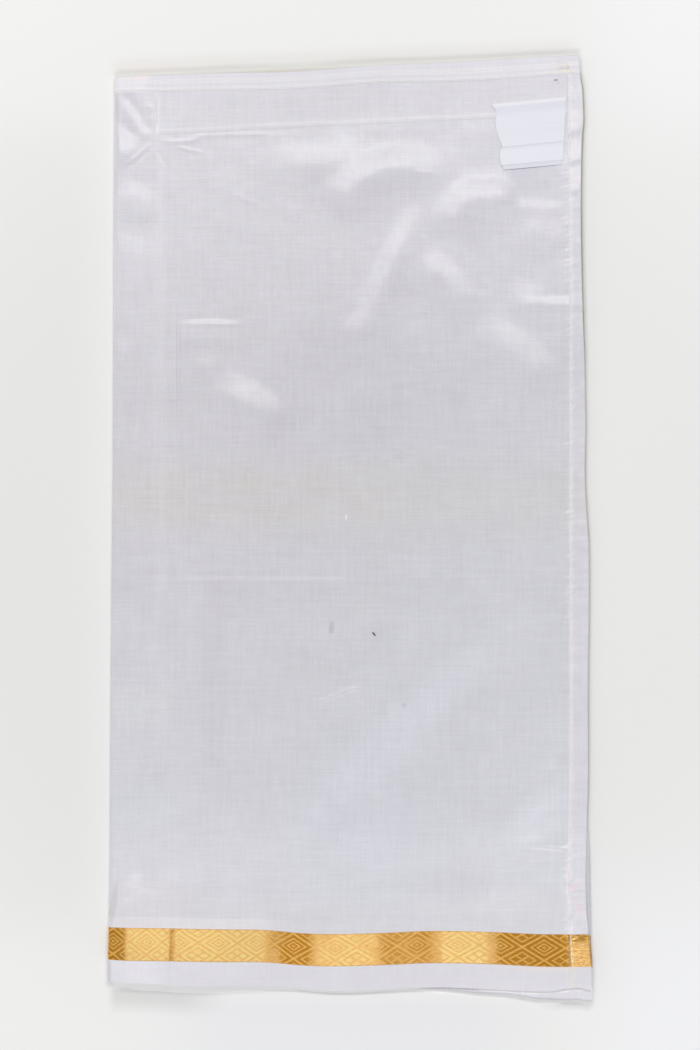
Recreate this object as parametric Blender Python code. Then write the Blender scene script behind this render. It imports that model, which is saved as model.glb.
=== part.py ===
"""A child's dhoti cloth, folded to four plies and laid flat.

Metres, +Z up. The cloth lies on z = 0. +Y points to the waist edge, +X to the stitched side hem, and
the fold that the top ply rolls round is on the left. The tables are in millimetres.
"""

import math

import bmesh
import bpy
import numpy as np

MM = 0.001

# Cloth and seams.
WALL = 1.0
SEAM_GAP = 0.3
PLIES_TOP = 2.9
PANEL_TOP = PLIES_TOP + SEAM_GAP + WALL
BORDER_DEPTH = 17.0
CASING_END_X = -103.0
FOLD_RUN = 1.2
LABEL_CLEARANCE = 0.35

# Edges of the top ply. Each row is a place along the edge and where the edge lies there.
LEFT_EDGE = (
    # y, x
    (-240, -128.2),
    (-198, -127.2),
    (-118, -126.6),
    (-38, -126.0),
    (41, -125.3),
    (174, -124.8),
    (239, -124.3),
)
RIGHT_EDGE = (
    # y, x
    (-245, 128.5),
    (-229, 128.0),
    (-221, 127.2),
    (-213, 126.7),
    (-205, 125.9),
    (-197, 125.5),
    (-189, 125.3),
    (-166, 125.7),
    (-134, 126.5),
    (-86, 126.5),
    (-30, 127.0),
    (-7, 126.8),
    (9, 125.7),
    (25, 124.9),
    (57, 125.2),
    (73, 124.9),
    (92, 124.5),
    (105, 123.9),
    (129, 123.2),
    (176, 122.6),
    (192, 122.9),
    (208, 123.4),
    (216, 124.1),
    (224, 123.9),
    (232, 123.5),
    (240, 122.4),
    (249, 122.3),
)
WAIST_EDGE = (
    # x, y
    (-125, 238.8),
    (-77, 240.7),
    (-26, 241.7),
    (16, 244.9),
    (59, 247.0),
    (101, 249.4),
    (122, 250.5),
)
LOWER_EDGE = (
    # x, y
    (-129, -240.3),
    (-106, -241.0),
    (-85, -242.2),
    (-61, -242.2),
    (-45, -243.0),
    (-29, -243.9),
    (-13, -245.4),
    (3, -245.6),
    (19, -244.9),
    (35, -244.1),
    (51, -243.7),
    (67, -244.3),
    (82, -245.0),
    (98, -245.5),
    (108, -245.3),
    (116, -243.9),
    (122, -243.6),
    (128, -244.9),
)

# Seams that cross the top ply.
TOP_HEM_DEPTH = (
    # x, depth
    (-125, 8.1),
    (-100, 9.0),
    (10, 9.3),
    (52, 10.5),
    (96, 10.6),
    (122, 9.9),
)
CASING_SEAM = (
    # x, y
    (-125, 207.9),
    (-100, 208.1),
    (-79, 208.9),
    (-37, 211.4),
    (6, 213.2),
    (48, 215.2),
    (69, 216.2),
    (122, 219.0),
)
BORDER_SEAM = (
    # x, y
    (-128, -211.7),
    (-94, -212.2),
    (-68, -212.7),
    (-43, -213.3),
    (-26, -214.9),
    (16, -214.9),
    (42, -213.8),
    (76, -214.3),
    (101, -215.4),
    (128, -215.4),
)
SIDE_HEM_SEAM = (
    # y, x
    (-245, 118.0),
    (-231, 116.9),
    (-216, 116.0),
    (-200, 115.2),
    (-165, 115.8),
    (-125, 116.3),
    (-38, 116.3),
    (120, 116.2),
    (249, 115.4),
)

# Where an edge of the stack stands off the floor: it rises from start to full_from, and falls to end.
LIFTS = (
    # side, start, full_from, full_to, end, fades over, height
    ("lower", -136, -116, -82, -22, 46, 4.4),
    ("lower", 52, 120, 134, 150, 40, 2.4),
    ("waist", -88, -52, 8, 46, 26, 0.8),
    ("right", 60, 112, 176, 206, 30, 1.3),
)

# Soft bulges of the top ply, each a long low mound.
BULGES = (
    # x, y, half length, half width, angle, height
    (-18, 200, 28, 6, 4, 0.9),
    (2, 187, 20, 6, 36, 1.5),
    (39, 201, 21, 6, 8, 1.4),
    (66, 178, 18, 7, 25, 1.6),
    (20, 141, 38, 7, 61, 2.0),
    (58, 129, 16, 7, -36, 1.4),
    (90, 98, 14, 7, -49, 1.3),
    (-49, 68, 18, 8, -32, 1.2),
    (30, -107, 36, 10, 45, 1.0),
    (106, -149, 9, 8, 0, 0.7),
    (-112, 220, 11, 5, -49, 1.3),
    (-114, 204, 8, 6, 0, 0.9),
    (-110, -189, 13, 6, 30, 0.8),
    (0, -27, 125, 9, 0, 0.5),
)

# The second ply's edge beside the top ply's: how far it stands out, and the rest stays hidden.
SECOND_PLY_RIGHT = (
    # y, out
    (-250, 0.5),
    (-216, 0.9),
    (-205, 2.0),
    (-190, 2.2),
    (-176, 2.1),
    (-163, 1.2),
    (-150, 0.0),
    (-138, -0.9),
    (-100, -0.9),
    (250, -0.9),
)
SECOND_PLY_LOWER = (
    # x, out
    (-129, -1.6),
    (-60, -1.6),
    (0, -1.5),
    (20, -0.9),
    (35, 0.3),
    (51, 1.8),
    (67, 2.6),
    (82, 2.2),
    (90, 2.9),
    (98, 3.9),
    (106, 5.1),
    (112, 5.6),
    (118, 6.3),
    (123, 6.6),
    (129, 6.0),
)

# Rings of the hidden plies from the floor up. The plies count down from the top one, and those at
# 3.5 and 2.5 are the grooves between two plies. Insets are counted from the top ply's outline, and on
# the left from inside the fold.
SECOND_PLY, THIRD_PLY, BOTTOM_PLY = 2.0, 3.0, 4.0
PLY_RINGS = (
    # ply, height, left, right, waist, lower
    (BOTTOM_PLY, 0.00, 2.6, 1.9, 2.9, 2.6),
    (BOTTOM_PLY, 0.40, 2.1, 1.4, 2.4, 2.1),
    (BOTTOM_PLY, 0.90, 2.5, 1.1, 2.8, 2.5),
    (3.5, 1.20, 2.9, 1.0, 5.5, 5.4),
    (THIRD_PLY, 1.40, 1.5, 1.1, 1.9, 1.8),
    (THIRD_PLY, 1.68, 0.9, 1.4, 1.5, 1.4),
    (THIRD_PLY, 1.95, 0.8, 1.8, 1.9, 1.8),
    (2.5, 2.08, 0.8, 4.6, 4.8, 4.6),
    (SECOND_PLY, 2.22, 0.8, 0.5, 0.9, 0.4),
    (SECOND_PLY, 2.52, 0.9, 0.0, 0.5, 0.0),
    (SECOND_PLY, PLIES_TOP, 1.5, 0.5, 1.0, 0.5),
)
BOTTOM_PLY_FOLD_SHARE = 1.0
INNER_PLY_FOLD_SHARE = 0.5
TOP_FACE_INSETS = (3, 7, 12, 18, 26, 36, 48, 62)
BOTTOM_FACE_INSETS = (12, 26, 44, 62)
PLY_SIDE_STATIONS = 28
PLY_END_STATIONS = 18
PLY_CORNER = 1.6

# Grid of the top ply: columns run up the cloth, rows run across it. A whole number is a seam.
FOLD_COLUMN, CASING_COLUMN, HEM_COLUMN, RIGHT_COLUMN = 0, 1, 2, 3
WAIST_ROW, HEM_ROW, CASING_ROW, BORDER_ROW, BAND_ROW, LOWER_ROW = 0, 1, 2, 3, 4, 5
WRAP_CELLS = 6
EDGE_CELLS = 3
MIDDLE_CELLS = 32
HEM_CELLS = 2
CASING_ROWS = 3
UPPER_ROWS = 26
PANEL_ROWS = 44
UPPER_SHARE = 0.42
SEAM_CROSSING_ROUNDS = 4
SLOPE_STEP = 1e-3
SHARP_ANGLE = 50

CLOTH_COLOUR = (0.66, 0.65, 0.71)
DENSE_CLOTH_COLOUR = (0.70, 0.68, 0.74)
ZARI_COLOUR = (0.74, 0.42, 0.11)
LABEL_COLOUR = (0.80, 0.80, 0.88)


def smooth(share):
    """0 to 1 along a soft S."""
    share = np.clip(share, 0.0, 1.0)
    return share * share * (3.0 - 2.0 * share)


def read(table, at):
    """The second column of a table at a place along its first, on a smooth curve through its rows."""
    rows = np.array(table, float)
    places, values = rows[:, 0], rows[:, 1]
    slopes = np.gradient(values, places)
    at = np.clip(at, places[0], places[-1])
    k = np.clip(np.searchsorted(places, at) - 1, 0, len(places) - 2)
    span = places[k + 1] - places[k]
    t = (at - places[k]) / span
    rise = values[k + 1] - values[k]
    start, end = slopes[k] * span, slopes[k + 1] * span
    bend = start - rise + (rise - end - (start - rise)) * t
    return values[k] + rise * t + t * (1.0 - t) * bend


def window(along, start, full_from, full_to, end):
    """0 outside start to end, 1 from full_from to full_to, and a soft slope between."""
    rising = smooth((along - start) / (full_from - start))
    falling = smooth((end - along) / (end - full_to))
    return rising * falling


def from_edge(side, x, y):
    """(place along this edge, distance in from it)."""
    if side == "lower":
        return x, y - read(LOWER_EDGE, x)
    if side == "waist":
        return x, read(WAIST_EDGE, x) - y
    return y, read(RIGHT_EDGE, y) - x


def lift(x, y):
    """How far the stack's edge stands off the floor here."""
    total = np.zeros(np.broadcast(x, y).shape)
    for side, start, full_from, full_to, end, fades_over, height in LIFTS:
        along, distance = from_edge(side, x, y)
        inward = 1.0 - smooth(distance / fades_over)
        total = total + height * window(along, start, full_from, full_to, end) * inward
    return total


def bulge(x, y):
    """How far the top ply swells off the plies below it."""
    total = np.zeros(np.broadcast(x, y).shape)
    for at_x, at_y, half_length, half_width, angle, height in BULGES:
        turn = math.radians(angle)
        along = (x - at_x) * math.cos(turn) + (y - at_y) * math.sin(turn)
        across = (y - at_y) * math.cos(turn) - (x - at_x) * math.sin(turn)
        total = total + height * np.exp(-((along / half_length) ** 2) - (across / half_width) ** 2)
    return total


def panel_top(x, y):
    return PANEL_TOP + lift(x, y) + bulge(x, y)


def fold_radius(y):
    """Radius of the round left fold, which is half as high as the top ply beside it."""
    return panel_top(read(LEFT_EDGE, y) + PANEL_TOP / 2, y) / 2


def between(lines, at):
    """A value between a list of lines, where a whole number is a line."""
    k = np.clip(np.floor(at).astype(int), 0, len(lines) - 2)
    stack = np.array(np.broadcast_arrays(*lines))
    low = np.take_along_axis(stack, k[None], 0)[0]
    high = np.take_along_axis(stack, k[None] + 1, 0)[0]
    return low + (high - low) * (at - k)


def column_x(column, y):
    left = read(LEFT_EDGE, y) + fold_radius(y)
    casing_end = np.full_like(y, CASING_END_X)
    return between([left, casing_end, read(SIDE_HEM_SEAM, y), read(RIGHT_EDGE, y)], column)


def row_y(row, x):
    waist, border = read(WAIST_EDGE, x), read(BORDER_SEAM, x)
    lines = [waist, waist - read(TOP_HEM_DEPTH, x), read(CASING_SEAM, x)]
    lines += [border, border - BORDER_DEPTH, read(LOWER_EDGE, x)]
    return between(lines, row)


def panel_point(column, row):
    """A point of the top ply's outer face. Columns under 0 go round the fold, and under -1 on the floor."""
    flat_column = np.maximum(column, 0.0)
    x = LEFT_EDGE[0][1] + (RIGHT_EDGE[0][1] - LEFT_EDGE[0][1]) * flat_column / RIGHT_COLUMN
    for _ in range(SEAM_CROSSING_ROUNDS):
        y = row_y(row, x)
        x = column_x(flat_column, y)
    angle = np.clip(-column, 0.0, 1.0) * math.pi
    on_floor = np.maximum(-column - 1.0, 0.0)
    radius = fold_radius(y)
    round_x = x - radius * np.sin(angle) + on_floor * FOLD_RUN
    round_z = radius * (1.0 + np.cos(angle))
    z = np.where(column < 0.0, round_z, panel_top(x, y))
    return np.stack([np.where(column < 0.0, round_x, x), y, z], axis=-1)


def panel_face(columns, rows, inset):
    """(points, outward normals) of a patch of the top ply's outer face.

    inset is how far its (left, right, waist, lower) sides stay inside the seams they meet."""
    column, row = np.meshgrid(columns, rows)
    points = panel_point(column, row)
    along = panel_point(column + SLOPE_STEP, row) - panel_point(column - SLOPE_STEP, row)
    down = panel_point(column, row + SLOPE_STEP) - panel_point(column, row - SLOPE_STEP)
    normals = np.cross(down, along)
    normals /= np.linalg.norm(normals, axis=-1, keepdims=True)
    left, right, waist, lower = inset
    points[:, 0] += along[:, 0] / np.linalg.norm(along[:, 0], axis=-1, keepdims=True) * left
    points[:, -1] -= along[:, -1] / np.linalg.norm(along[:, -1], axis=-1, keepdims=True) * right
    points[0] += down[0] / np.linalg.norm(down[0], axis=-1, keepdims=True) * waist
    points[-1] -= down[-1] / np.linalg.norm(down[-1], axis=-1, keepdims=True) * lower
    return points, normals


def stations(first, last, cells):
    return np.linspace(first, last, cells + 1)


def joined(*runs):
    """Station lists end to end, with the shared stations once."""
    return np.concatenate([runs[0]] + [run[1:] for run in runs[1:]])


WRAP_COLUMNS = joined(np.array([-2.0, -1.0]), stations(-1.0, FOLD_COLUMN, WRAP_CELLS))
EDGE_COLUMNS = stations(FOLD_COLUMN, CASING_COLUMN, EDGE_CELLS)
MIDDLE_COLUMNS = stations(CASING_COLUMN, HEM_COLUMN, MIDDLE_CELLS)
HEM_COLUMNS = stations(HEM_COLUMN, RIGHT_COLUMN, HEM_CELLS)
ALL_COLUMNS = joined(WRAP_COLUMNS, EDGE_COLUMNS, MIDDLE_COLUMNS, HEM_COLUMNS)
TOP_ROWS = stations(WAIST_ROW, HEM_ROW, 1)
TUNNEL_ROWS = stations(HEM_ROW, CASING_ROW, CASING_ROWS)
MAIN_ROWS = joined(
    stations(CASING_ROW, CASING_ROW + UPPER_SHARE, UPPER_ROWS),
    stations(CASING_ROW + UPPER_SHARE, BORDER_ROW, PANEL_ROWS - UPPER_ROWS),
)
PANEL_STATIONS = joined(TOP_ROWS, TUNNEL_ROWS, MAIN_ROWS)


def material(name, colour, roughness, metallic=0.0):
    made = bpy.data.materials.new(name)
    made.use_nodes = True
    shader = made.node_tree.nodes["Principled BSDF"]
    shader.inputs["Base Color"].default_value = (*colour, 1.0)
    shader.inputs["Roughness"].default_value = roughness
    shader.inputs["Metallic"].default_value = metallic
    made.diffuse_color = (*colour, 1.0)
    return made


def add_object(name, mesh_builder, finish):
    """One closed body, in metres, from a bmesh in millimetres."""
    mesh = bpy.data.meshes.new(name)
    bmesh.ops.scale(mesh_builder, vec=(MM, MM, MM), verts=mesh_builder.verts)
    mesh_builder.to_mesh(mesh)
    mesh_builder.free()
    mesh.materials.append(finish)
    made = bpy.data.objects.new(name, mesh)
    bpy.context.scene.collection.objects.link(made)
    mesh.shade_smooth()
    mesh.set_sharp_from_angle(angle=math.radians(SHARP_ANGLE))
    return made


def grid_faces(builder, grid, flip):
    """Quads over a grid of verts, facing the other way where flip is set."""
    for upper, lower in zip(grid, grid[1:]):
        for k in range(len(upper) - 1):
            corners = (upper[k], lower[k], lower[k + 1], upper[k + 1])
            builder.faces.new(corners[::-1] if flip else corners)


def rim(grid):
    """The verts round a grid's border, in order."""
    right = [row[-1] for row in grid[1:-1]]
    left = [row[0] for row in grid[1:-1]]
    return grid[0] + right + grid[-1][::-1] + left[::-1]


def wall(name, outer, inner, finish):
    """A sheet of cloth between two grids of points that face each other."""
    builder = bmesh.new()
    grids = [[[builder.verts.new(point) for point in row] for row in face] for face in (outer, inner)]
    grid_faces(builder, grids[0], False)
    grid_faces(builder, grids[1], True)
    outside, inside = rim(grids[0]), rim(grids[1])
    for k, corner in enumerate(outside):
        after = (k + 1) % len(outside)
        builder.faces.new((corner, outside[after], inside[after], inside[k]))
    return add_object(name, builder, finish)


def ply_wall(name, columns, rows, inset, finish):
    """A piece of the top ply itself."""
    points, normals = panel_face(columns, rows, inset)
    return wall(name, points, points - normals * WALL, finish)


def laid_wall(name, columns, rows, inset, finish):
    """A strip that lies on the top ply, made from its points, moved out."""
    points, normals = panel_face(columns, rows, inset)
    inner = points + normals * SEAM_GAP
    return wall(name, inner + normals * WALL, inner, finish)


def ply_loop(ply, height, left, right, waist, lower, extra):
    """One closed ring round the hidden plies, counterclockwise from the lower left corner."""
    fold_share = INNER_PLY_FOLD_SHARE if ply <= THIRD_PLY else BOTTOM_PLY_FOLD_SHARE
    lift_share = (BOTTOM_PLY + 1.0 - ply) / BOTTOM_PLY
    second = ply == SECOND_PLY

    def left_x(y):
        return read(LEFT_EDGE, y) + fold_share * fold_radius(y) + left + extra

    def right_x(y):
        out = read(SECOND_PLY_RIGHT, y) if second else 0.0
        return read(RIGHT_EDGE, y) - right - extra + out

    def lower_y(x):
        out = read(SECOND_PLY_LOWER, x) if second else 0.0
        return read(LOWER_EDGE, x) + lower + extra - out

    def waist_y(x):
        return read(WAIST_EDGE, x) - waist - extra

    low_left, top_left = left_x(np.array([LEFT_EDGE[0][0], LEFT_EDGE[-1][0]], float))
    low_right, top_right = right_x(np.array([RIGHT_EDGE[0][0], RIGHT_EDGE[-1][0]], float))
    corner = PLY_CORNER / (low_right - low_left)
    end = np.linspace(corner, 1.0 - corner, PLY_END_STATIONS)
    side = np.linspace(corner / 2, 1.0 - corner / 2, PLY_SIDE_STATIONS)
    lower_x = low_left + (low_right - low_left) * end
    upper_x = top_right + (top_left - top_right) * end
    right_y = lower_y(low_right) + (waist_y(top_right) - lower_y(low_right)) * side
    left_y = waist_y(top_left) + (lower_y(low_left) - waist_y(top_left)) * side
    x = np.concatenate([lower_x, right_x(right_y), upper_x, left_x(left_y)])
    y = np.concatenate([lower_y(lower_x), right_y, waist_y(upper_x), left_y])
    return np.stack([x, y, height + lift_share * lift(x, y)], axis=-1)


def folded_plies(finish):
    """The hidden plies as one rounded solid, flat where it rests and layered at its edges."""
    bottom, top = PLY_RINGS[0], PLY_RINGS[-1]
    loops = [ply_loop(*bottom, extra) for extra in reversed(BOTTOM_FACE_INSETS)]
    loops += [ply_loop(*ring, 0.0) for ring in PLY_RINGS]
    loops += [ply_loop(*top, extra) for extra in TOP_FACE_INSETS]
    builder = bmesh.new()
    rings = [[builder.verts.new(point) for point in loop] for loop in loops]
    for below, above in zip(rings, rings[1:]):
        for k in range(len(below)):
            after = (k + 1) % len(below)
            builder.faces.new((below[k], below[after], above[after], above[k]))
    floor_centre = builder.verts.new((0.0, 0.0, bottom[1]))
    top_centre = builder.verts.new((0.0, 0.0, top[1]))
    for k in range(len(rings[0])):
        after = (k + 1) % len(rings[0])
        builder.faces.new((rings[0][after], rings[0][k], floor_centre))
        builder.faces.new((rings[-1][k], rings[-1][after], top_centre))
    return add_object("folded_plies", builder, finish)


# The care label: its corners, and how its free end settles from the casing to the panel.
LABEL_CORNERS = {
    "top_left": (75.7, 225.0),
    "top_right": (114.9, 228.8),
    "low_left": (82.6, 191.6),
    "low_right": (113.3, 194.8),
}
LABEL_BOW = 0.8
LABEL_SETTLES_FROM = 1.5
LABEL_SETTLES_OVER = 10.0
LABEL_CELLS_ACROSS = 8
LABEL_CELLS_DOWN = 14


def care_label(finish):
    """A ribbon label sewn in at the casing, which steps down off it onto the panel."""
    across, down = np.meshgrid(
        np.linspace(0, 1, LABEL_CELLS_ACROSS + 1), np.linspace(0, 1, LABEL_CELLS_DOWN + 1)
    )
    corners = {name: np.array(at) for name, at in LABEL_CORNERS.items()}
    left = corners["top_left"] + (corners["low_left"] - corners["top_left"]) * down[..., None]
    right = corners["top_right"] + (corners["low_right"] - corners["top_right"]) * down[..., None]
    flat = left + (right - left) * across[..., None]
    x, y = flat[..., 0], flat[..., 1]
    x = x + LABEL_BOW * np.sin(math.pi * down) * (1.0 - across)
    past_seam = read(CASING_SEAM, x) - y - LABEL_SETTLES_FROM
    on_casing = 1.0 - smooth(past_seam / LABEL_SETTLES_OVER)
    under = panel_top(x, y) + LABEL_CLEARANCE + (SEAM_GAP + WALL) * on_casing
    lower_face = np.stack([x, y, under], axis=-1)
    upper_face = lower_face + np.array([0.0, 0.0, WALL])
    return wall("care_label", upper_face, lower_face, finish)


def build():
    half = SEAM_GAP / 2
    cloth = material("cloth", CLOTH_COLOUR, 0.45)
    plies = material("plies", CLOTH_COLOUR, 0.5)
    band = material("dense_cloth", DENSE_CLOTH_COLOUR, 0.5)
    hem = material("hem_cloth", DENSE_CLOTH_COLOUR, 0.5)
    zari = material("zari", ZARI_COLOUR, 0.35, metallic=0.7)
    ribbon = material("label_ribbon", LABEL_COLOUR, 0.5)

    folded_plies(plies)
    ply_wall("front_panel", ALL_COLUMNS, PANEL_STATIONS, (0, 0, 0, half), cloth)
    border_rows = stations(BORDER_ROW, BAND_ROW, 2)
    band_rows = stations(BAND_ROW, LOWER_ROW, 2)
    ply_wall("zari_border", ALL_COLUMNS, border_rows, (0, 0, half, half), zari)
    ply_wall("bottom_band", ALL_COLUMNS, band_rows, (0, 0, half, 0), band)

    waist_columns = joined(EDGE_COLUMNS, MIDDLE_COLUMNS, HEM_COLUMNS)
    side_rows = joined(TUNNEL_ROWS, MAIN_ROWS)
    laid_wall("top_hem", waist_columns, TOP_ROWS, (0, 0, 0, half), hem)
    laid_wall("waist_casing", MIDDLE_COLUMNS, TUNNEL_ROWS, (0, half, half, 0), cloth)
    laid_wall("side_hem", HEM_COLUMNS, side_rows, (half, 0, half, half), hem)
    laid_wall("side_hem_zari", HEM_COLUMNS, border_rows, (half, 0, half, half), zari)
    laid_wall("side_hem_foot", HEM_COLUMNS, band_rows, (half, 0, half, 0), band)
    care_label(ribbon)


for leftover in list(bpy.data.objects):
    bpy.data.objects.remove(leftover)
build()
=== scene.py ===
"""The looks of a child's dhoti cloth, folded to four plies and laid flat on a pale floor.

The tables are in millimetres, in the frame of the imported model: +Y points to the waist edge, +X to
the stitched side hem, and the fold that the top ply rolls round is on the left.
"""

import math

import bpy
import numpy as np
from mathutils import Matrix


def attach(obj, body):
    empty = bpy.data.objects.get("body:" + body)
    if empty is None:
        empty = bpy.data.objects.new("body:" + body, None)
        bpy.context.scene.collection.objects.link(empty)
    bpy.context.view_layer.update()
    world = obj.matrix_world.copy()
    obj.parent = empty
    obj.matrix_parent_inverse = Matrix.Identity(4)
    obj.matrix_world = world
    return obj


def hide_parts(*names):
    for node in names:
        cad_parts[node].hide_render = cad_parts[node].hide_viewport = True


MM = 0.001
UV_NAME = "UVMap"

# ---------------------------------------------------------------------------------------------
# The stack of plies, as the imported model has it.

# Height of the top ply's face, and how far its fold runs on underneath along the floor.
PANEL_TOP = 4.2
FOLD_RUN = 1.2

# Depth of the gold border, and where the waist casing is sewn shut beside the fold.
BORDER_DEPTH = 17.0
CASING_END_X = -103.0

# Edges of the top ply. Each row is a place along the edge and where the edge lies there.
LEFT_EDGE = (
    # y, x
    (-240, -128.2),
    (-198, -127.2),
    (-118, -126.6),
    (-38, -126.0),
    (41, -125.3),
    (174, -124.8),
    (239, -124.3),
)
RIGHT_EDGE = (
    # y, x
    (-245, 128.5),
    (-229, 128.0),
    (-221, 127.2),
    (-213, 126.7),
    (-205, 125.9),
    (-197, 125.5),
    (-189, 125.3),
    (-166, 125.7),
    (-134, 126.5),
    (-86, 126.5),
    (-30, 127.0),
    (-7, 126.8),
    (9, 125.7),
    (25, 124.9),
    (57, 125.2),
    (73, 124.9),
    (92, 124.5),
    (105, 123.9),
    (129, 123.2),
    (176, 122.6),
    (192, 122.9),
    (208, 123.4),
    (216, 124.1),
    (224, 123.9),
    (232, 123.5),
    (240, 122.4),
    (249, 122.3),
)
WAIST_EDGE = (
    # x, y
    (-125, 238.8),
    (-77, 240.7),
    (-26, 241.7),
    (16, 244.9),
    (59, 247.0),
    (101, 249.4),
    (122, 250.5),
)
LOWER_EDGE = (
    # x, y
    (-129, -240.3),
    (-106, -241.0),
    (-85, -242.2),
    (-61, -242.2),
    (-45, -243.0),
    (-29, -243.9),
    (-13, -245.4),
    (3, -245.6),
    (19, -244.9),
    (35, -244.1),
    (51, -243.7),
    (67, -244.3),
    (82, -245.0),
    (98, -245.5),
    (108, -245.3),
    (116, -243.9),
    (122, -243.6),
    (128, -244.9),
)

# Seams that cross the top ply.
TOP_HEM_DEPTH = (
    # x, depth
    (-125, 8.1),
    (-100, 9.0),
    (10, 9.3),
    (52, 10.5),
    (96, 10.6),
    (122, 9.9),
)
CASING_SEAM = (
    # x, y
    (-125, 207.9),
    (-100, 208.1),
    (-79, 208.9),
    (-37, 211.4),
    (6, 213.2),
    (48, 215.2),
    (69, 216.2),
    (122, 219.0),
)
BORDER_SEAM = (
    # x, y
    (-128, -211.7),
    (-94, -212.2),
    (-68, -212.7),
    (-43, -213.3),
    (-26, -214.9),
    (16, -214.9),
    (42, -213.8),
    (76, -214.3),
    (101, -215.4),
    (128, -215.4),
)
SIDE_HEM_SEAM = (
    # y, x
    (-245, 118.0),
    (-231, 116.9),
    (-216, 116.0),
    (-200, 115.2),
    (-165, 115.8),
    (-125, 116.3),
    (-38, 116.3),
    (120, 116.2),
    (249, 115.4),
)

# Where an edge of the stack stands off the floor: it rises from start to full_from, and falls to end.
LIFTS = (
    # side, start, full_from, full_to, end, fades over, height
    ("lower", -136, -116, -82, -22, 46, 4.4),
    ("lower", 52, 120, 134, 150, 40, 2.4),
    ("waist", -88, -52, 8, 46, 26, 0.8),
    ("right", 60, 112, 176, 206, 30, 1.3),
)

# Soft bulges of the top ply, each a long low mound.
BULGES = (
    # x, y, half length, half width, angle, height
    (-110, -192, 13, 7, 20, 0.7),
    (0, -27, 125, 9, 0, 0.5),
)

# Soft folds of the top ply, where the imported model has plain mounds. The lit side faces the waist
# edge: it steepens from the crest to a crisp foot. The other side dies away over its reach. A path
# runs from left to right along the middle of the lit side, and the fold fades out at its ends.
FOLDS = (
    # slope at the foot, width, reach, fade in, fade out, path of (x, y)
    (0.12, 11.5, 10.0, 0.5, 0.2, ((-54, 200.2), (-38, 199.0), (-22, 198.1), (-8, 199.8), (9, 204.6))),
    (
        0.25,
        13.0,
        11.0,
        0.18,
        0.5,
        (
            *((-17, 170.5), (-10, 177.5), (-1, 185.5), (8, 192)),
            *((18, 196.2), (30, 197.2), (42, 196.2), (64, 200)),
        ),
    ),
    (
        0.24,
        12.5,
        11.0,
        0.25,
        0.2,
        ((45.5, 152), (48.0, 160), (51.5, 169.5), (58, 177), (66, 180.0), (76, 180.6), (88, 185.5)),
    ),
    (
        0.32,
        8.5,
        10.0,
        0.14,
        0.5,
        ((-7, 104.0), (2, 107), (6.5, 113), (11, 122.5), (17.5, 137), (26, 155.5), (41, 183.0)),
    ),
    (0.19, 10.5, 10.0, 0.4, 0.4, ((33, 152), (46, 142.0), (54, 134.5), (62, 125.5), (75, 115))),
    (0.20, 5.5, 2.2, 0.3, 0.05, ((80, 119.6), (92, 120.0), (112, 120.4), (140, 120.6))),
    (0.13, 9.0, 9.0, 0.4, 0.4, ((82, 127.5), (93, 126.5), (108, 122.5))),
    (0.18, 14.0, 13.0, 0.5, 0.3, ((70, 117), (84, 104), (97, 92.5), (115, 78))),
    (0.24, 13.0, 10.0, 0.5, 0.35, ((-74, 86), (-62, 77.5), (-48, 68.5), (-26, 54.5))),
    (0.11, 9.0, 7.0, 0.4, 0.4, ((-86, 92), (-76, 90), (-66, 83))),
    (0.20, 16.0, 14.0, 0.4, 0.4, ((-10, -147), (27, -108), (66, -71))),
    (0.26, 7.0, 8.0, 0.4, 0.4, ((84, -166), (96, -155), (108, -147), (120, -143))),
    (0.11, 4.5, 5.0, 0.35, 0.35, ((86, 171.2), (99, 171.7), (116, 170.8))),
    (0.12, 12.0, 9.0, 0.4, 0.3, ((94, 168), (105, 161), (117, 149))),
    (0.08, 9.0, 6.0, 0.4, 0.4, ((-96, 104.5), (-76, 105.2), (-54, 104.6))),
    (0.17, 8.0, 6.0, 0.1, 0.4, ((-131, 207.5), (-120, 203.0), (-109, 198.5))),
    (0.09, 8.0, 7.0, 0.4, 0.4, ((-123, 183.5), (-110, 177), (-98, 170))),
    (0.07, 10.0, 8.0, 0.3, 0.4, ((-128, 152), (-112, 150), (-98, 148))),
    (0.08, 4.0, 4.0, 0.1, 0.5, ((-128, 99), (-121, 96), (-115, 93))),
    (0.30, 3.6, 4.0, 0.35, 0.35, ((-122.5, -199), (-117.8, -190.0), (-111.5, -180.5))),
)

# How far a fold's foot is rounded, as a share of the lit side, and how the lit side steepens.
FOOT_SOFTNESS = 0.22
FOLD_CURVE = 1.4

# How far from its path a fold or a crease is worked out, as a multiple of its width.
FOLD_MARGIN = 2.5
CREASE_MARGIN = 4

# How far the second ply's edge stands out past the top ply's. Where it is below 0 it stays hidden.
SECOND_PLY_RIGHT = (
    # y, out
    (-250, 0.5),
    (-216, 0.9),
    (-205, 2.0),
    (-190, 2.2),
    (-176, 2.1),
    (-163, 1.2),
    (-150, 0.0),
    (-138, -0.9),
    (-100, -0.9),
    (250, -0.9),
)
SECOND_PLY_LOWER = (
    # x, out
    (-129, -1.6),
    (-60, -1.6),
    (0, -1.5),
    (20, -0.9),
    (35, 0.3),
    (51, 1.8),
    (67, 2.6),
    (82, 2.2),
    (90, 2.9),
    (98, 3.9),
    (106, 5.1),
    (112, 5.6),
    (118, 6.3),
    (123, 6.6),
    (129, 6.0),
)

# ---------------------------------------------------------------------------------------------
# What the finer form adds: thin cloth, creases, puckers and stitches.

# Thickness of the cloth, and how high each strip's face lies over the top ply's.
CLOTH_THICKNESS = 0.4
STRIP_RISE = 0.22
HEM_RISE = 0.28
ZARI_RISE = 0.08

# How far below the top ply's face a hem runs where it is turned under the edge.
TURN_UNDER = 0.5

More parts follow.
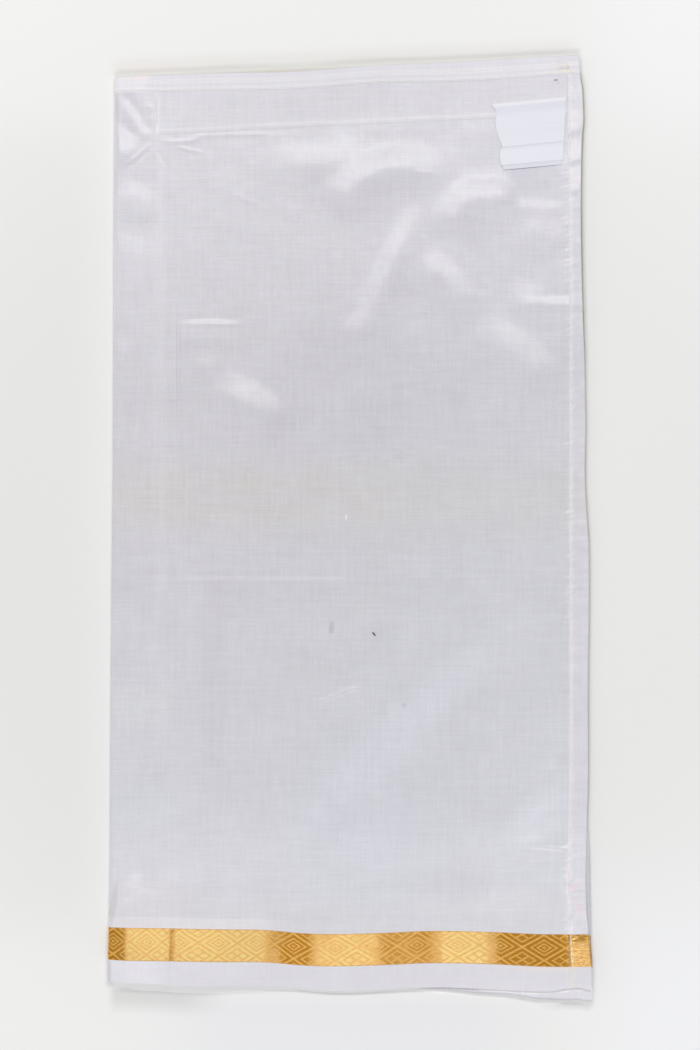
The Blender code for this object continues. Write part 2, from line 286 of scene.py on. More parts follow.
# Creases pressed or rucked into the top ply. A negative height is a trough.
CREASES = (
    # height, half width, fade at each end, path of (x, y)
    (0.20, 1.1, 0.35, ((-93.5, 107.8), (-80, 108.0), (-66, 107.8), (-53, 107.4))),
    (-0.26, 1.2, 0.30, ((-93.5, 110.8), (-80, 111.0), (-66, 111.0), (-53, 110.6))),
    (-0.17, 1.9, 0.35, ((-124, -24.8), (-80, -25.2), (-30, -25.4), (30, -24.8))),
    (0.22, 2.4, 0.35, ((-124, -28.2), (-80, -28.4), (-30, -28.6), (30, -27.8))),
    (0.44, 1.3, 0.25, ((-19.0, -94.0), (-6, -88.6), (0, -86.2), (10.0, -84.0))),
    (0.40, 1.2, 0.30, ((92, -168.6), (112, -170.2), (131, -171.2))),
    (0.34, 2.0, 0.35, ((-117.0, -186.6), (-109.0, -189.8), (-101.5, -190.6))),
    (0.18, 0.9, 0.35, ((24.2, 42.5), (31, 39.6), (39, 37.7))),
    (0.14, 0.8, 0.35, ((-63.7, 178.8), (-55, 173.9), (-43.6, 169.8))),
    (-0.20, 0.9, 0.25, ((-90.8, 113), (-91.2, 88), (-90.6, 60))),
    (0.12, 1.2, 0.30, ((-88.8, 112), (-89.2, 88), (-88.6, 60))),
    (0.22, 0.9, 0.30, ((31.0, 187.9), (39, 188.0), (47.5, 187.2))),
    (-0.50, 2.8, 0.20, ((-120.5, 231.0), (-116.7, 225.9), (-111.3, 218.5), (-106.5, 208.0))),
    (-0.42, 2.4, 0.30, ((-126.5, 220.0), (-122.6, 216.1), (-117.3, 210.9), (-111.5, 205.5))),
    (0.32, 2.6, 0.25, ((-122.5, 229.0), (-116.2, 219.6), (-111.0, 212.4), (-106.0, 204.0))),
    (0.30, 0.8, 0.35, ((-109.3, 226.0), (-105.2, 221.7), (-104.6, 211.7))),
    (0.30, 0.7, 0.30, ((-104.6, 204.6), (-112.5, 196.6), (-123.0, 190.2))),
    (-0.13, 0.8, 0.30, ((-104.0, 202.6), (-112.5, 194.4), (-121.0, 188.4))),
    (
        0.19,
        1.1,
        0.12,
        ((-101.6, 205.8), (-97, 204.6), (-84.1, 205.1), (-79, 207.4), (-73.8, 208.0), (-42, 208.8)),
    ),
    (-0.09, 1.0, 0.30, ((-62, 209.4), (-42, 210.4), (-20, 211.2))),
    (0.30, 0.7, 0.35, ((-91.8, 202.4), (-85, 200.2), (-76.5, 198.7))),
    (0.24, 0.8, 0.35, ((-104.5, 201.2), (-101.6, 196), (-98.7, 189.6))),
    (-0.20, 0.8, 0.35, ((-102.9, 201.2), (-100.0, 196), (-97.1, 189.6))),
    (0.20, 1.2, 0.30, ((-101.3, 195), (-101.0, 120), (-101.6, 0), (-101.0, -120), (-100.4, -206))),
    (-0.40, 0.9, 0.20, ((-94.0, -208), (-93.6, -218), (-94.0, -232), (-93.8, -244))),
    (0.30, 1.0, 0.20, ((-95.8, -208), (-95.3, -218), (-95.8, -232), (-95.6, -244))),
    (0.22, 1.2, 0.30, ((-124.6, -192.0), (-121.8, -200.5), (-121.2, -211.0))),
    (0.25, 6.0, 0.45, ((-128, 126.5), (-117, 129.0), (-100, 128.0))),
    (0.25, 6.0, 0.45, ((-128, 44.0), (-119, 46.0), (-106, 45.0))),
)

# Puckers beside the side hem's stitches: how strong they are down the hem.
PUCKER_STRENGTH = (
    # y, share
    (-245, 0.2),
    (-222, 0.6),
    (-213, 2.6),
    (-174, 2.4),
    (-160, 0.7),
    (-80, 0.7),
    (-60, 1.3),
    (40, 1.0),
    (60, 0.5),
    (110, 0.9),
    (175, 0.9),
    (190, 0.4),
    (249, 0.3),
)
PUCKER_HEIGHT = 0.16
PUCKER_PITCH = 3.15

# The puckers' middle lies this far right of the seam. They die away over their reach, faster on the
# hem than beside it, and each one slants a little.
PUCKER_SHIFT = 1.0
PUCKER_REACH = 3.4
PUCKER_FADE_ON_HEM = 1.6
PUCKER_SLANT = 0.35

# Sine waves of the puckers, and of how they wander along the seam.
PUCKER_WAVES = (
    # height, waves in one pitch, start
    (0.55, 1.0, 0.0),
    (0.80, 0.37, 1.3),
)
PUCKER_WANDER = (
    # mm, radians a mm, start
    (1.5, 0.17, 0.0),
    (1.2, 0.061, 2.0),
)

# Waves across the side hem: each sways along it and slants across it.
HEM_WAVES = (
    # height, radians a mm, sway, the sway's radians a mm, slant in radians a mm
    (0.10, 0.47, 1.7, 0.083, 0.12),
    (0.035, 1.31, 1.1, 0.19, -0.3),
)
HEM_MIDDLE_X = 118.0

# Waves of the border, which lies looser than the cloth above it.
BORDER_WAVES = (
    # x, half width, height
    (-112, 9, 0.30),
    (-74, 17, 0.35),
    (-6, 13, 0.30),
    (60, 15, 0.35),
    (119, 5, 0.25),
)

# How far above the border its waves die away, and over how far the relief grows beside the left fold.
BORDER_WAVES_END = 14.0
RELIEF_START = 4.0

# Centre of each big diamond along the border. The weave is drawn out towards the side hem.
MOTIF_CENTRES = (
    # x, count
    (-124.9, 0),
    (-107.3, 1),
    (-90.2, 2),
    (-69.2, 3),
    (-49.2, 4),
    (-29.5, 5),
    (-7.3, 6),
    (14.8, 7),
    (35.9, 8),
    (57.7, 9),
    (80.2, 10),
    (103.2, 11),
    (126.0, 12),
)
MOTIF_PITCH_AT_FOLD = 17.6

# ---------------------------------------------------------------------------------------------
# The grid of the top ply: columns run up the cloth, rows run across it. A whole number is a seam.

FOLD_COLUMN, CASING_COLUMN, HEM_COLUMN, RIGHT_COLUMN = 0, 1, 2, 3
WAIST_ROW, HEM_ROW, CASING_ROW, BORDER_ROW, BAND_ROW, LOWER_ROW = 0, 1, 2, 3, 4, 5

# Rounds to find where a column crosses a row, and the step for the slope of the face there.
SEAM_CROSSING_ROUNDS = 4
SLOPE_STEP = 1e-3

# How far apart the seams lie, for the size of a cell.
COLUMN_SPANS = (22.0, 219.0, 9.0)
ROW_SPANS = (8.5, 24.0, 427.0, 17.0, 13.0)

# The rounded lip where a strip comes down to the cloth, and the least gap to the station after it.
LIP = (
    # inset, share of the strip's rise
    (0.0, -0.20),
    (0.2, 0.25),
    (0.5, 0.62),
    (0.85, 0.88),
    (1.3, 1.0),
)
LIP_GAP = 0.3

# Stations of the half circle where a sheet is turned under, and rows of cells underneath.
TURN_STEPS = 7
HEM_TURN_ROWS = 3
BAND_TURN_ROWS = 10

# ---------------------------------------------------------------------------------------------
# Curves.


def smooth(share):
    """0 to 1 along a soft S."""
    share = np.clip(share, 0.0, 1.0)
    return share * share * (3.0 - 2.0 * share)


def read(table, at):
    """The second column of a table at a place along its first, on a smooth curve through its rows."""
    rows = np.array(table, float)
    places, values = rows[:, 0], rows[:, 1]
    slopes = np.gradient(values, places)
    at = np.clip(at, places[0], places[-1])
    k = np.clip(np.searchsorted(places, at) - 1, 0, len(places) - 2)
    span = places[k + 1] - places[k]
    t = (at - places[k]) / span
    rise = values[k + 1] - values[k]
    start, end = slopes[k] * span, slopes[k + 1] * span
    bend = start - rise + (rise - end - (start - rise)) * t
    return values[k] + rise * t + t * (1.0 - t) * bend


def window(along, start, full_from, full_to, end):
    """0 outside start to end, 1 from full_from to full_to, and a soft slope between."""
    rising = smooth((along - start) / (full_from - start))
    falling = smooth((end - along) / (end - full_to))
    return rising * falling


def waves(at, rows):
    """A sum of sine waves, each with its height, its radians a millimetre and where it starts."""
    return sum(height * np.sin(at * rate + start) for height, rate, start in rows)


def rounded(path, per_span=5):
    """More points along a path, on a smooth curve through it."""
    path = np.array(path, float)
    steps = np.arange(len(path), dtype=float)
    fine = np.linspace(0, len(path) - 1, (len(path) - 1) * per_span + 1)
    return np.stack([read(np.stack([steps, path[:, k]], 1), fine) for k in (0, 1)], axis=-1)


def close_to(path, reach, x, y):
    """Which points lie within reach of the box round a path."""
    spread = np.array(path, float)
    low, high = spread.min(axis=0) - reach, spread.max(axis=0) + reach
    return (x > low[0]) & (x < high[0]) & (y > low[1]) & (y < high[1])


def from_path(path, x, y):
    """(distance to a path, share of the way along it). It is below 0 on the right of the path."""
    points = rounded(path)
    lengths = np.linalg.norm(np.diff(points, axis=0), axis=1)
    starts = np.concatenate([[0.0], np.cumsum(lengths)])
    nearest = np.full(x.shape, np.inf)
    share = np.zeros(x.shape)
    for k, length in enumerate(lengths):
        (ax, ay), (bx, by) = points[k], points[k + 1]
        t = np.clip(((x - ax) * (bx - ax) + (y - ay) * (by - ay)) / length**2, 0.0, 1.0)
        distance = np.hypot(x - ax - (bx - ax) * t, y - ay - (by - ay) * t)
        on_left = (bx - ax) * (y - ay) - (by - ay) * (x - ax) > 0
        closer = distance < np.abs(nearest)
        nearest = np.where(closer, np.where(on_left, distance, -distance), nearest)
        share = np.where(closer, (starts[k] + t * length) / starts[-1], share)
    return nearest, share


def faded(share, fade_in, fade_out):
    """1 along the middle of a path, and 0 at its ends."""
    return window(share, -1e-6, fade_in, 1.0 - fade_out, 1.0 + 1e-6)


# ---------------------------------------------------------------------------------------------
# The form of the top ply.


def from_edge(side, x, y):
    """(place along this edge, distance in from it)."""
    if side == "lower":
        return x, y - read(LOWER_EDGE, x)
    if side == "waist":
        return x, read(WAIST_EDGE, x) - y
    return y, read(RIGHT_EDGE, y) - x


def lift(x, y):
    """How far the stack's edge stands off the floor here."""
    total = np.zeros(np.broadcast(x, y).shape)
    for side, start, full_from, full_to, end, fades_over, height in LIFTS:
        along, distance = from_edge(side, x, y)
        inward = 1.0 - smooth(distance / fades_over)
        total = total + height * window(along, start, full_from, full_to, end) * inward
    return total


def bulge(x, y):
    """How far the top ply swells off the plies below it."""
    total = np.zeros(np.broadcast(x, y).shape)
    for at_x, at_y, half_length, half_width, angle, height in BULGES:
        turn = math.radians(angle)
        along = (x - at_x) * math.cos(turn) + (y - at_y) * math.sin(turn)
        across = (y - at_y) * math.cos(turn) - (x - at_x) * math.sin(turn)
        total = total + height * np.exp(-((along / half_length) ** 2) - (across / half_width) ** 2)
    return total


def folds(x, y):
    """How far the soft folds raise the top ply, each worked out only near its path."""
    x, y = np.broadcast_arrays(x, y)
    total = np.zeros(x.shape)
    for slope, width, reach, fade_in, fade_out, path in FOLDS:
        near = close_to(path, FOLD_MARGIN * max(width, reach), x, y)
        distance, share = from_path(path, x[near], y[near])
        to_foot = 0.5 - distance / width
        above_foot = (to_foot + np.sqrt(to_foot**2 + FOOT_SOFTNESS**2)) / 2
        height = 1.0 - np.maximum(1.0 - above_foot, 0.0) ** FOLD_CURVE
        beyond = np.minimum(distance + width / 2, 0.0)
        height = height * np.exp(-((beyond / reach) ** 2))
        total[near] += slope * width / FOLD_CURVE * height * faded(share, fade_in, fade_out)
    return total


def panel_top(x, y):
    """Height of the top ply's face without its creases and puckers."""
    return PANEL_TOP + lift(x, y) + bulge(x, y) + folds(x, y)


def fold_radius(y):
    """Radius of the round left fold, which is half as high as the top ply beside it."""
    x = read(LEFT_EDGE, y) + PANEL_TOP / 2
    return (PANEL_TOP + lift(x, y) + bulge(x, y)) / 2


def creases(x, y):
    """The creases of the top ply, each worked out only near its path."""
    total = np.zeros(x.shape)
    for height, half_width, fade, path in CREASES:
        near = close_to(path, CREASE_MARGIN * half_width, x, y)
        distance, share = from_path(path, x[near], y[near])
        total[near] += height * np.exp(-((distance / half_width) ** 2)) * faded(share, fade, fade)
    return total


def puckers(x, y):
    """Small ripples that the side hem's stitches draw into the cloth beside them."""
    before_seam = read(SIDE_HEM_SEAM, y) + PUCKER_SHIFT - x
    outside = np.maximum(before_seam, -before_seam * PUCKER_FADE_ON_HEM)
    reach = np.exp(-((outside / PUCKER_REACH) ** 2))
    uneven = 0.6 + 0.4 * np.sin(y * 0.23) * np.sin(y * 0.091 + 1.0)
    wander = waves(y, PUCKER_WANDER) + PUCKER_SLANT * before_seam
    turn = (y + wander) * 2 * math.pi / PUCKER_PITCH
    return PUCKER_HEIGHT * read(PUCKER_STRENGTH, y) * uneven * waves(turn, PUCKER_WAVES) * reach


def hem_waves(x, y):
    """Uneven waves across the side hem, which its stitches draw up."""
    total = 0.0
    for height, rate, sway, sway_rate, slant in HEM_WAVES:
        swayed = y * rate + sway * np.sin(y * sway_rate) + (x - HEM_MIDDLE_X) * slant
        total = total + height * np.sin(swayed)
    return total * (0.4 + 0.6 * read(PUCKER_STRENGTH, y))


def border_waves(x, y):
    """Low waves along the border and the band below it."""
    total = np.zeros(x.shape)
    for at_x, half_width, height in BORDER_WAVES:
        total = total + height * np.exp(-(((x - at_x) / half_width) ** 2))
    return total * (1.0 - smooth((y - read(BORDER_SEAM, x)) / BORDER_WAVES_END))


def cloth_top(x, y):
    """Height of the top ply's face, with all of its relief, which starts beside the left fold."""
    beside_fold = smooth((x - read(LEFT_EDGE, y) - PANEL_TOP / 2) / RELIEF_START)
    relief = creases(x, y) + puckers(x, y) + border_waves(x, y)
    return panel_top(x, y) + relief * beside_fold


# ---------------------------------------------------------------------------------------------
# The grid of the top ply.


def between(lines, at):
    """A value between a list of lines, where a whole number is a line."""
    k = np.clip(np.floor(at).astype(int), 0, len(lines) - 2)
    stack = np.array(np.broadcast_arrays(*lines))
    low = np.take_along_axis(stack, k[None], 0)[0]
    high = np.take_along_axis(stack, k[None] + 1, 0)[0]
    return low + (high - low) * (at - k)


def column_x(column, y):
    """Where a column lies, from the fold on the left to the right edge."""
    left = read(LEFT_EDGE, y) + fold_radius(y)
    casing_end = np.full_like(y, CASING_END_X)
    return between([left, casing_end, read(SIDE_HEM_SEAM, y), read(RIGHT_EDGE, y)], column)


def hem_seam(x):
    """Where the waist hem's lower edge lies."""
    return read(WAIST_EDGE, x) - read(TOP_HEM_DEPTH, x)


def casing_seam(x):
    """Where the waist casing's seam lies."""
    return read(CASING_SEAM, x)


def row_y(row, x):
    """Where a row lies, from the waist edge down to the lower edge."""
    border = read(BORDER_SEAM, x)
    lines = [read(WAIST_EDGE, x), hem_seam(x), casing_seam(x)]
    lines += [border, border - BORDER_DEPTH, read(LOWER_EDGE, x)]
    return between(lines, row)


def panel_point(column, row):
    """A point of the top ply's outer face.

    Columns below 0 go round the left fold, and below -1 they run on along the floor."""
    flat_column = np.maximum(column, 0.0)
    x = LEFT_EDGE[0][1] + (RIGHT_EDGE[0][1] - LEFT_EDGE[0][1]) * flat_column / RIGHT_COLUMN
    for _ in range(SEAM_CROSSING_ROUNDS):
        y = row_y(row, x)
        x = column_x(flat_column, y)
    angle = np.clip(-column, 0.0, 1.0) * math.pi
    on_floor = np.maximum(-column - 1.0, 0.0)
    radius = fold_radius(y)
    round_x = x - radius * np.sin(angle) + on_floor * FOLD_RUN
    round_z = radius * (1.0 + np.cos(angle))
    z = np.where(column < 0.0, round_z, cloth_top(x, y))
    return np.stack([np.where(column < 0.0, round_x, x), y, z], axis=-1)


def unit(vectors):
    """The same directions, with a length of 1."""
    return vectors / np.linalg.norm(vectors, axis=-1, keepdims=True)


def panel_face(columns, rows):
    """(points, outward normals) of a patch of the top ply's outer face."""
    column, row = np.meshgrid(columns, rows)
    along = panel_point(column + SLOPE_STEP, row) - panel_point(column - SLOPE_STEP, row)
    down = panel_point(column, row + SLOPE_STEP) - panel_point(column, row - SLOPE_STEP)
    return panel_point(column, row), unit(np.cross(down, along))


def span_at(spans, first, last):
    """How far apart the seams lie on the two sides of a pair of stations."""
    return spans[int(math.floor((first + last) / 2))]


def even(first, last, spans, cell):
    """Stations from one place to another, about a cell of so many millimetres apart."""
    stops = [first] + [k for k in range(math.ceil(first + 1e-9), math.ceil(last))] + [last]
    runs = []
    for a, b in zip(stops, stops[1:]):
        length = span_at(spans, a, b) * (b - a)
        runs.append(np.linspace(a, b, max(1, round(length / cell)) + 1)[:-1])
    return np.concatenate(runs + [np.array([float(last)])])


def refined(stations, spans, places, reach, parts):
    """The same stations, with each cell near a named place split into parts."""
    result = [stations[0]]
    for a, b in zip(stations, stations[1:]):
        span = span_at(spans, a, b)
        close = any(abs((a + b) / 2 - place) * span < reach for place in places)
        result += list(np.linspace(a, b, parts + 1)[1:] if close else [b])
    return np.array(result)


def with_lip(stations, spans, first, last):
    """Stations crowded at an end where the strip comes down to the cloth in a rounded lip."""
    insets = np.array([inset for inset, _ in LIP])
    if first:
        span = span_at(spans, stations[0], stations[1])
        start = stations[0] + insets / span
        stations = np.concatenate([start, stations[stations > start[-1] + LIP_GAP / span]])
    if last:
        span = span_at(spans, stations[-1], stations[-2])
        end = stations[-1] - insets[::-1] / span
        stations = np.concatenate([stations[stations < end[0] - LIP_GAP / span], end])
    return stations


def lip_share(count, first, last):
    """How much of its rise a strip has at each station."""
    shares = np.array([share for _, share in LIP])
    result = np.ones(count)
    if first:
        result[: len(LIP)] = np.minimum(result[: len(LIP)], shares)
    if last:
        result[-len(LIP) :] = np.minimum(result[-len(LIP) :], shares[::-1])
    return result


# ---------------------------------------------------------------------------------------------
# Meshes.


def add_mesh(name, points, faces, finishes, face_finish=None, uv=None):
    """A smooth mesh from points in millimetres. face_finish numbers the finish of each face."""
    mesh = bpy.data.meshes.new(name)
    mesh.from_pydata((np.asarray(points) * MM).tolist(), [], np.asarray(faces).tolist())
    for finish in finishes:
        mesh.materials.append(finish)
    if face_finish is not None:
        mesh.polygons.foreach_set("material_index", np.asarray(face_finish, np.int32))
    if uv is not None:
        corners = np.empty(len(mesh.loops), np.int32)
        mesh.loops.foreach_get("vertex_index", corners)
        layer = mesh.uv_layers.new(name=UV_NAME)
        layer.data.foreach_set("uv", np.asarray(uv, np.float32)[corners].ravel())
    mesh.shade_smooth()
    mesh.update()
    made = bpy.data.objects.new(name, mesh)
    bpy.context.scene.collection.objects.link(made)
    return made


def grid_quads(rows, columns):
    """Corner numbers of a grid's faces. Rows run down the cloth and columns to the right."""
    first = (np.arange(rows - 1)[:, None] * columns + np.arange(columns - 1)[None]).ravel()
    return np.stack([first, first + columns, first + columns + 1, first + 1], axis=-1)


def uv_map(points, uv):
    """A grid's UV map, from a function that gives (U, V) at (x, y)."""
    return np.stack(uv(points[..., 0], points[..., 1]), axis=-1)


def add_grid(name, points, finish, uv=None):
    """A mesh from a grid of points, and from (U, V) at each of them."""
    rows, columns = points.shape[:2]
    flat_uv = None if uv is None else uv.reshape(-1, 2)
    return add_mesh(name, points.reshape(-1, 3), grid_quads(rows, columns), [finish], uv=flat_uv)


def turned_under(points, normals, thickness, run):
    """Rolls the sheet round its last row and runs it back underneath for a few rows."""
    edge, normal = points[-1], normals[-1]
    out = unit(edge - points[-2])
    half = thickness / 2
    rows, turned = list(points[:-1]), list(normals[:-1])
    for angle in np.linspace(0.0, math.pi, TURN_STEPS):
        rows.append(edge + out * half * (math.sin(angle) - 1) - normal * half * (1 - math.cos(angle)))
        turned.append(normal * math.cos(angle) + out * math.sin(angle))
    for k in range(2, 2 + run):
        rows.append(points[-k] - normals[-k] * thickness)
        turned.append(-normals[-k])
    return np.array(rows), np.array(turned)


def turned_side(points, normals, side, thickness, run):
    """turned_under for the waist, the lower or the right side of a grid."""
    if side == "right":
        turned = turned_under(points.swapaxes(0, 1), normals.swapaxes(0, 1), thickness, run)
        return [grid.swapaxes(0, 1) for grid in turned]
    if side == "waist":
        return [grid[::-1] for grid in turned_under(points[::-1], normals[::-1], thickness, run)]
    return turned_under(points, normals, thickness, run)


def strip(name, finish, columns, rows, rise, lips, turns=(), ridge=None, uv=None):
    """A strip that lies on the top ply.

    lips are the sides where it comes down to the ply, and turns are those where it rolls round the
    ply's edge and under. ridge gives more height at (x, y)."""
    left, right, waist, lower = (side in lips for side in ("left", "right", "waist", "lower"))
    columns = with_lip(columns, COLUMN_SPANS, left, right)
    rows = with_lip(rows, ROW_SPANS, waist, lower)
    points, normals = panel_face(columns, rows)
    across = lip_share(len(columns), left, right)[None, :]
    down = lip_share(len(rows), waist, lower)[:, None]
    height = rise * np.minimum(across, down)
    if ridge is not None:
        height = height + ridge(points[..., 0], points[..., 1]) * np.minimum(across, down)
    points = points + normals * height[..., None]
    for side in turns:
        points, normals = turned_side(points, normals, side, rise + TURN_UNDER, HEM_TURN_ROWS)
    points[..., 2] = np.maximum(points[..., 2], 0.0)
    return add_grid(name, points, finish, uv and uv_map(points, uv))


# ---------------------------------------------------------------------------------------------
# Shader arithmetic.


class Value:
    """A number or a colour in a node tree, with plain arithmetic."""

    def __init__(self, tree, socket):
        self.tree, self.socket = tree, socket

    def _do(self, operation, *others):
        node = self.tree.nodes.new("ShaderNodeMath")
        node.operation = operation
        for slot, value in zip(node.inputs, (self, *others)):
            put(slot, value)
        return Value(self.tree, node.outputs[0])

    def __add__(self, other):
        return self._do("ADD", other)

    def __sub__(self, other):
        return self._do("SUBTRACT", other)

    def __mul__(self, other):
        return self._do("MULTIPLY", other)

    def __truediv__(self, other):
        return self._do("DIVIDE", other)

    def abs(self):
        return self._do("ABSOLUTE")

    def rounded(self):
        return self._do("ROUND")

    def parity(self):
        """0 for an even number and 1 for an odd one."""
        return self._do("PINGPONG", 1.0)

    def largest(self, other):
        return self._do("MAXIMUM", other)

    def smallest(self, other):
        return self._do("MINIMUM", other)

    def root(self):
        return self._do("SQRT")

    def ramp(self, start, end, low=0.0, high=1.0):
        """low below start, high above end, and a soft S between. end may be below start."""
        node = self.tree.nodes.new("ShaderNodeMapRange")
        node.interpolation_type = "SMOOTHSTEP"
        if end < start:
            start, end, low, high = end, start, high, low
        put(node.inputs["Value"], self)
        node.inputs["From Min"].default_value = start
        node.inputs["From Max"].default_value = end
        node.inputs["To Min"].default_value = low
        node.inputs["To Max"].default_value = high
        return Value(self.tree, node.outputs["Result"])


def put(socket, value):
    """Gives a socket a number, a colour of red, green and blue, or another node's value."""
    if isinstance(value, Value):
        value.tree.links.new(value.socket, socket)
    elif isinstance(value, tuple):
        socket.default_value = (*value, 1.0)
    else:
        socket.default_value = value


def parts_of(tree, vector):
    """The x, y and z of a vector."""
    split = tree.nodes.new("ShaderNodeSeparateXYZ")
    tree.links.new(vector, split.inputs[0])
    return [Value(tree, part) for part in split.outputs]


def object_xy(tree):
    """(x, y) on the object, in millimetres."""
    where = tree.nodes.new("ShaderNodeTexCoord")
    return [part * (1 / MM) for part in parts_of(tree, where.outputs["Object"])[:2]]


def uv_values(tree):
    """(U, V) of the UV map."""
    source = tree.nodes.new("ShaderNodeUVMap")
    source.uv_map = UV_NAME
    return parts_of(tree, source.outputs[0])[:2]


def facing_up(tree):
    """How far the surface faces up: 1 where it lies flat, and 0 where it stands upright."""
    geometry = tree.nodes.new("ShaderNodeNewGeometry")
    return parts_of(tree, geometry.outputs["Normal"])[2]


def streaks(x, y, name):
    """The noise of this name in STREAKS, from 0 to 1."""
    width, length, detail, seed = STREAKS[name]
    join = x.tree.nodes.new("ShaderNodeCombineXYZ")
    put(join.inputs[0], x / width)
    put(join.inputs[1], y / length)
    join.inputs[2].default_value = seed
    noise = x.tree.nodes.new("ShaderNodeTexNoise")
    noise.inputs["Scale"].default_value = 1.0
    noise.inputs["Detail"].default_value = detail
    x.tree.links.new(join.outputs[0], noise.inputs["Vector"])
    return Value(x.tree, noise.outputs["Fac"])


def blend(share, first, second):
    """A colour between two, by a share from 0 to 1."""
    node = share.tree.nodes.new("ShaderNodeMix")
    node.data_type = "RGBA"
    for socket, value in zip((node.inputs[0], *node.inputs[6:8]), (share, first, second)):
        put(socket, value)
    return Value(share.tree, node.outputs[2])


def lighten(colour, factor):
    """A colour made lighter or darker by a factor that varies over the surface."""
    node = factor.tree.nodes.new("ShaderNodeHueSaturation")
    put(node.inputs["Color"], colour)
    put(node.inputs["Value"], factor)
    return Value(factor.tree, node.outputs["Color"])


def along_table(at, table):
    """A table's second column at a place along its first, by a colour ramp."""
    low, high = table[0][0], table[-1][0]
    node = at.tree.nodes.new("ShaderNodeValToRGB")
    node.color_ramp.interpolation = "EASE"
    stops = node.color_ramp.elements
    while len(stops) < len(table):
        stops.new(0.5)
    for stop, (place, level) in zip(stops, table):
        stop.position = (place - low) / (high - low)
        stop.color = (level, level, level, 1.0)
    put(node.inputs[0], (at - low) / (high - low))
    return Value(at.tree, node.outputs[0])


def line_mask(distance, half_width, softness):
    """1 near a line, and 0 away from it."""
    return distance.ramp(half_width + softness, half_width - softness)


def oval(x, y, at_x, at_y, half_length, half_width, angle):
    """1 inside an oval and 0 outside. Its soft edge fades between 0.5 and 1.3 of its size."""
    turn = math.radians(angle)
    dx, dy = x - at_x, y - at_y
    along = (dx * math.cos(turn) + dy * math.sin(turn)) / half_length
    across = (dy * math.cos(turn) - dx * math.sin(turn)) / half_width
    return (along * along + across * across).root().ramp(1.3, 0.5)


def rectangle(x, y, x_from, x_to, y_from, y_to, edge):
    """1 inside a rectangle with soft edges, and 0 outside."""
    wide = x.ramp(x_from - edge, x_from + edge) * x.ramp(x_to + edge, x_to - edge)
    return wide * y.ramp(y_from - edge, y_from + edge) * y.ramp(y_to + edge, y_to - edge)


def new_material(name, **settings):
    """(material, x, y): a new material, and where its surface lies on the object."""
    made = bpy.data.materials.new(name)
    made.use_nodes = True
    shader = made.node_tree.nodes["Principled BSDF"]
    for socket, value in settings.items():
        shader.inputs[socket.replace("_", " ")].default_value = value
    return made, *object_xy(made.node_tree)


def dressed(made, colour, height=None, depth=0.0):
    """The material with its colour, and a relief whose height of 0 to 1 stands for a depth in mm."""
    tree = made.node_tree
    shader = tree.nodes["Principled BSDF"]
    put(shader.inputs["Base Color"], colour)
    if height is not None:
        bump = tree.nodes.new("ShaderNodeBump")
        bump.inputs["Distance"].default_value = depth * MM
        put(bump.inputs["Height"], height)
        put(shader.inputs["Normal"], Value(tree, bump.outputs["Normal"]))
    return made


# ---------------------------------------------------------------------------------------------
# Colours, as red, green and blue, and where they lie.

LAVENDER = (0.658, 0.632, 0.683)
BLUISH = (0.648, 0.650, 0.694)
YELLOWISH = (0.655, 0.632, 0.612)
DENSE = (0.690, 0.673, 0.722)
WHITER = (0.800, 0.785, 0.835)
RIBBON = (0.790, 0.790, 0.860)
RIBBON_BLUE = (0.600, 0.610, 0.730)
RIBBON_SHADED = (0.720, 0.720, 0.800)
RIBBON_TOP = (0.880, 0.865, 0.890)
RIBBON_FOLD_SHADE = (0.600, 0.600, 0.680)
CREAM = (0.880, 0.865, 0.885)
PALE_THREAD = (0.825, 0.812, 0.840)
ROW_PALE = (0.800, 0.785, 0.795)
CHALK = (0.80, 0.60, 0.68)
BROWN = (0.42, 0.26, 0.12)
BEIGE = (0.740, 0.690, 0.600)
DARK = (0.03, 0.03, 0.04)
GREY_BLUE_LIGHT = (0.640, 0.652, 0.695)
DARKER_MAUVE = (0.520, 0.500, 0.580)
SHADE_GREY = (0.560, 0.555, 0.575)
PINKISH = (0.685, 0.640, 0.665)
STRIP_PALE = (0.745, 0.718, 0.750)
SHADED_BLUE = (0.500, 0.500, 0.575)
HEM_WHITER = (0.765, 0.745, 0.790)
HEM_PINKISH = (0.830, 0.720, 0.745)
HEM_BRIGHT = (0.820, 0.785, 0.820)
UNDER_PAINTED_LIGHT = (0.950, 0.930, 0.965)
SMUDGE_BLUE = (0.40, 0.40, 0.46)
SMUDGE_GREY = (0.40, 0.39, 0.42)
SLUB_PALE = (0.86, 0.85, 0.88)
MAUVE = (0.600, 0.550, 0.615)
COOL_GREY = (0.700, 0.712, 0.725)
SOFT_BLUE = (0.665, 0.665, 0.745)
SOFT_MAUVE = (0.690, 0.645, 0.690)
MIDDLE_BLUE = (0.645, 0.645, 0.730)
PAINTED_SHEEN_BLUE = (0.710, 0.705, 0.800)
DULL_MAUVE = (0.600, 0.560, 0.620)
PALE_MAUVE = (0.725, 0.700, 0.740)
PAINTED_SHEEN_PALE_BLUE = (0.730, 0.730, 0.805)
FOLD_SHADE = (0.500, 0.470, 0.480)
ORANGE_STAIN = (0.80, 0.60, 0.42)
STRAW_STAIN = (0.86, 0.74, 0.46)
FOOT_SHADE = (0.560, 0.510, 0.530)
UNDER_SHADE = (0.420, 0.420, 0.450)
PEACH = (0.800, 0.690, 0.640)
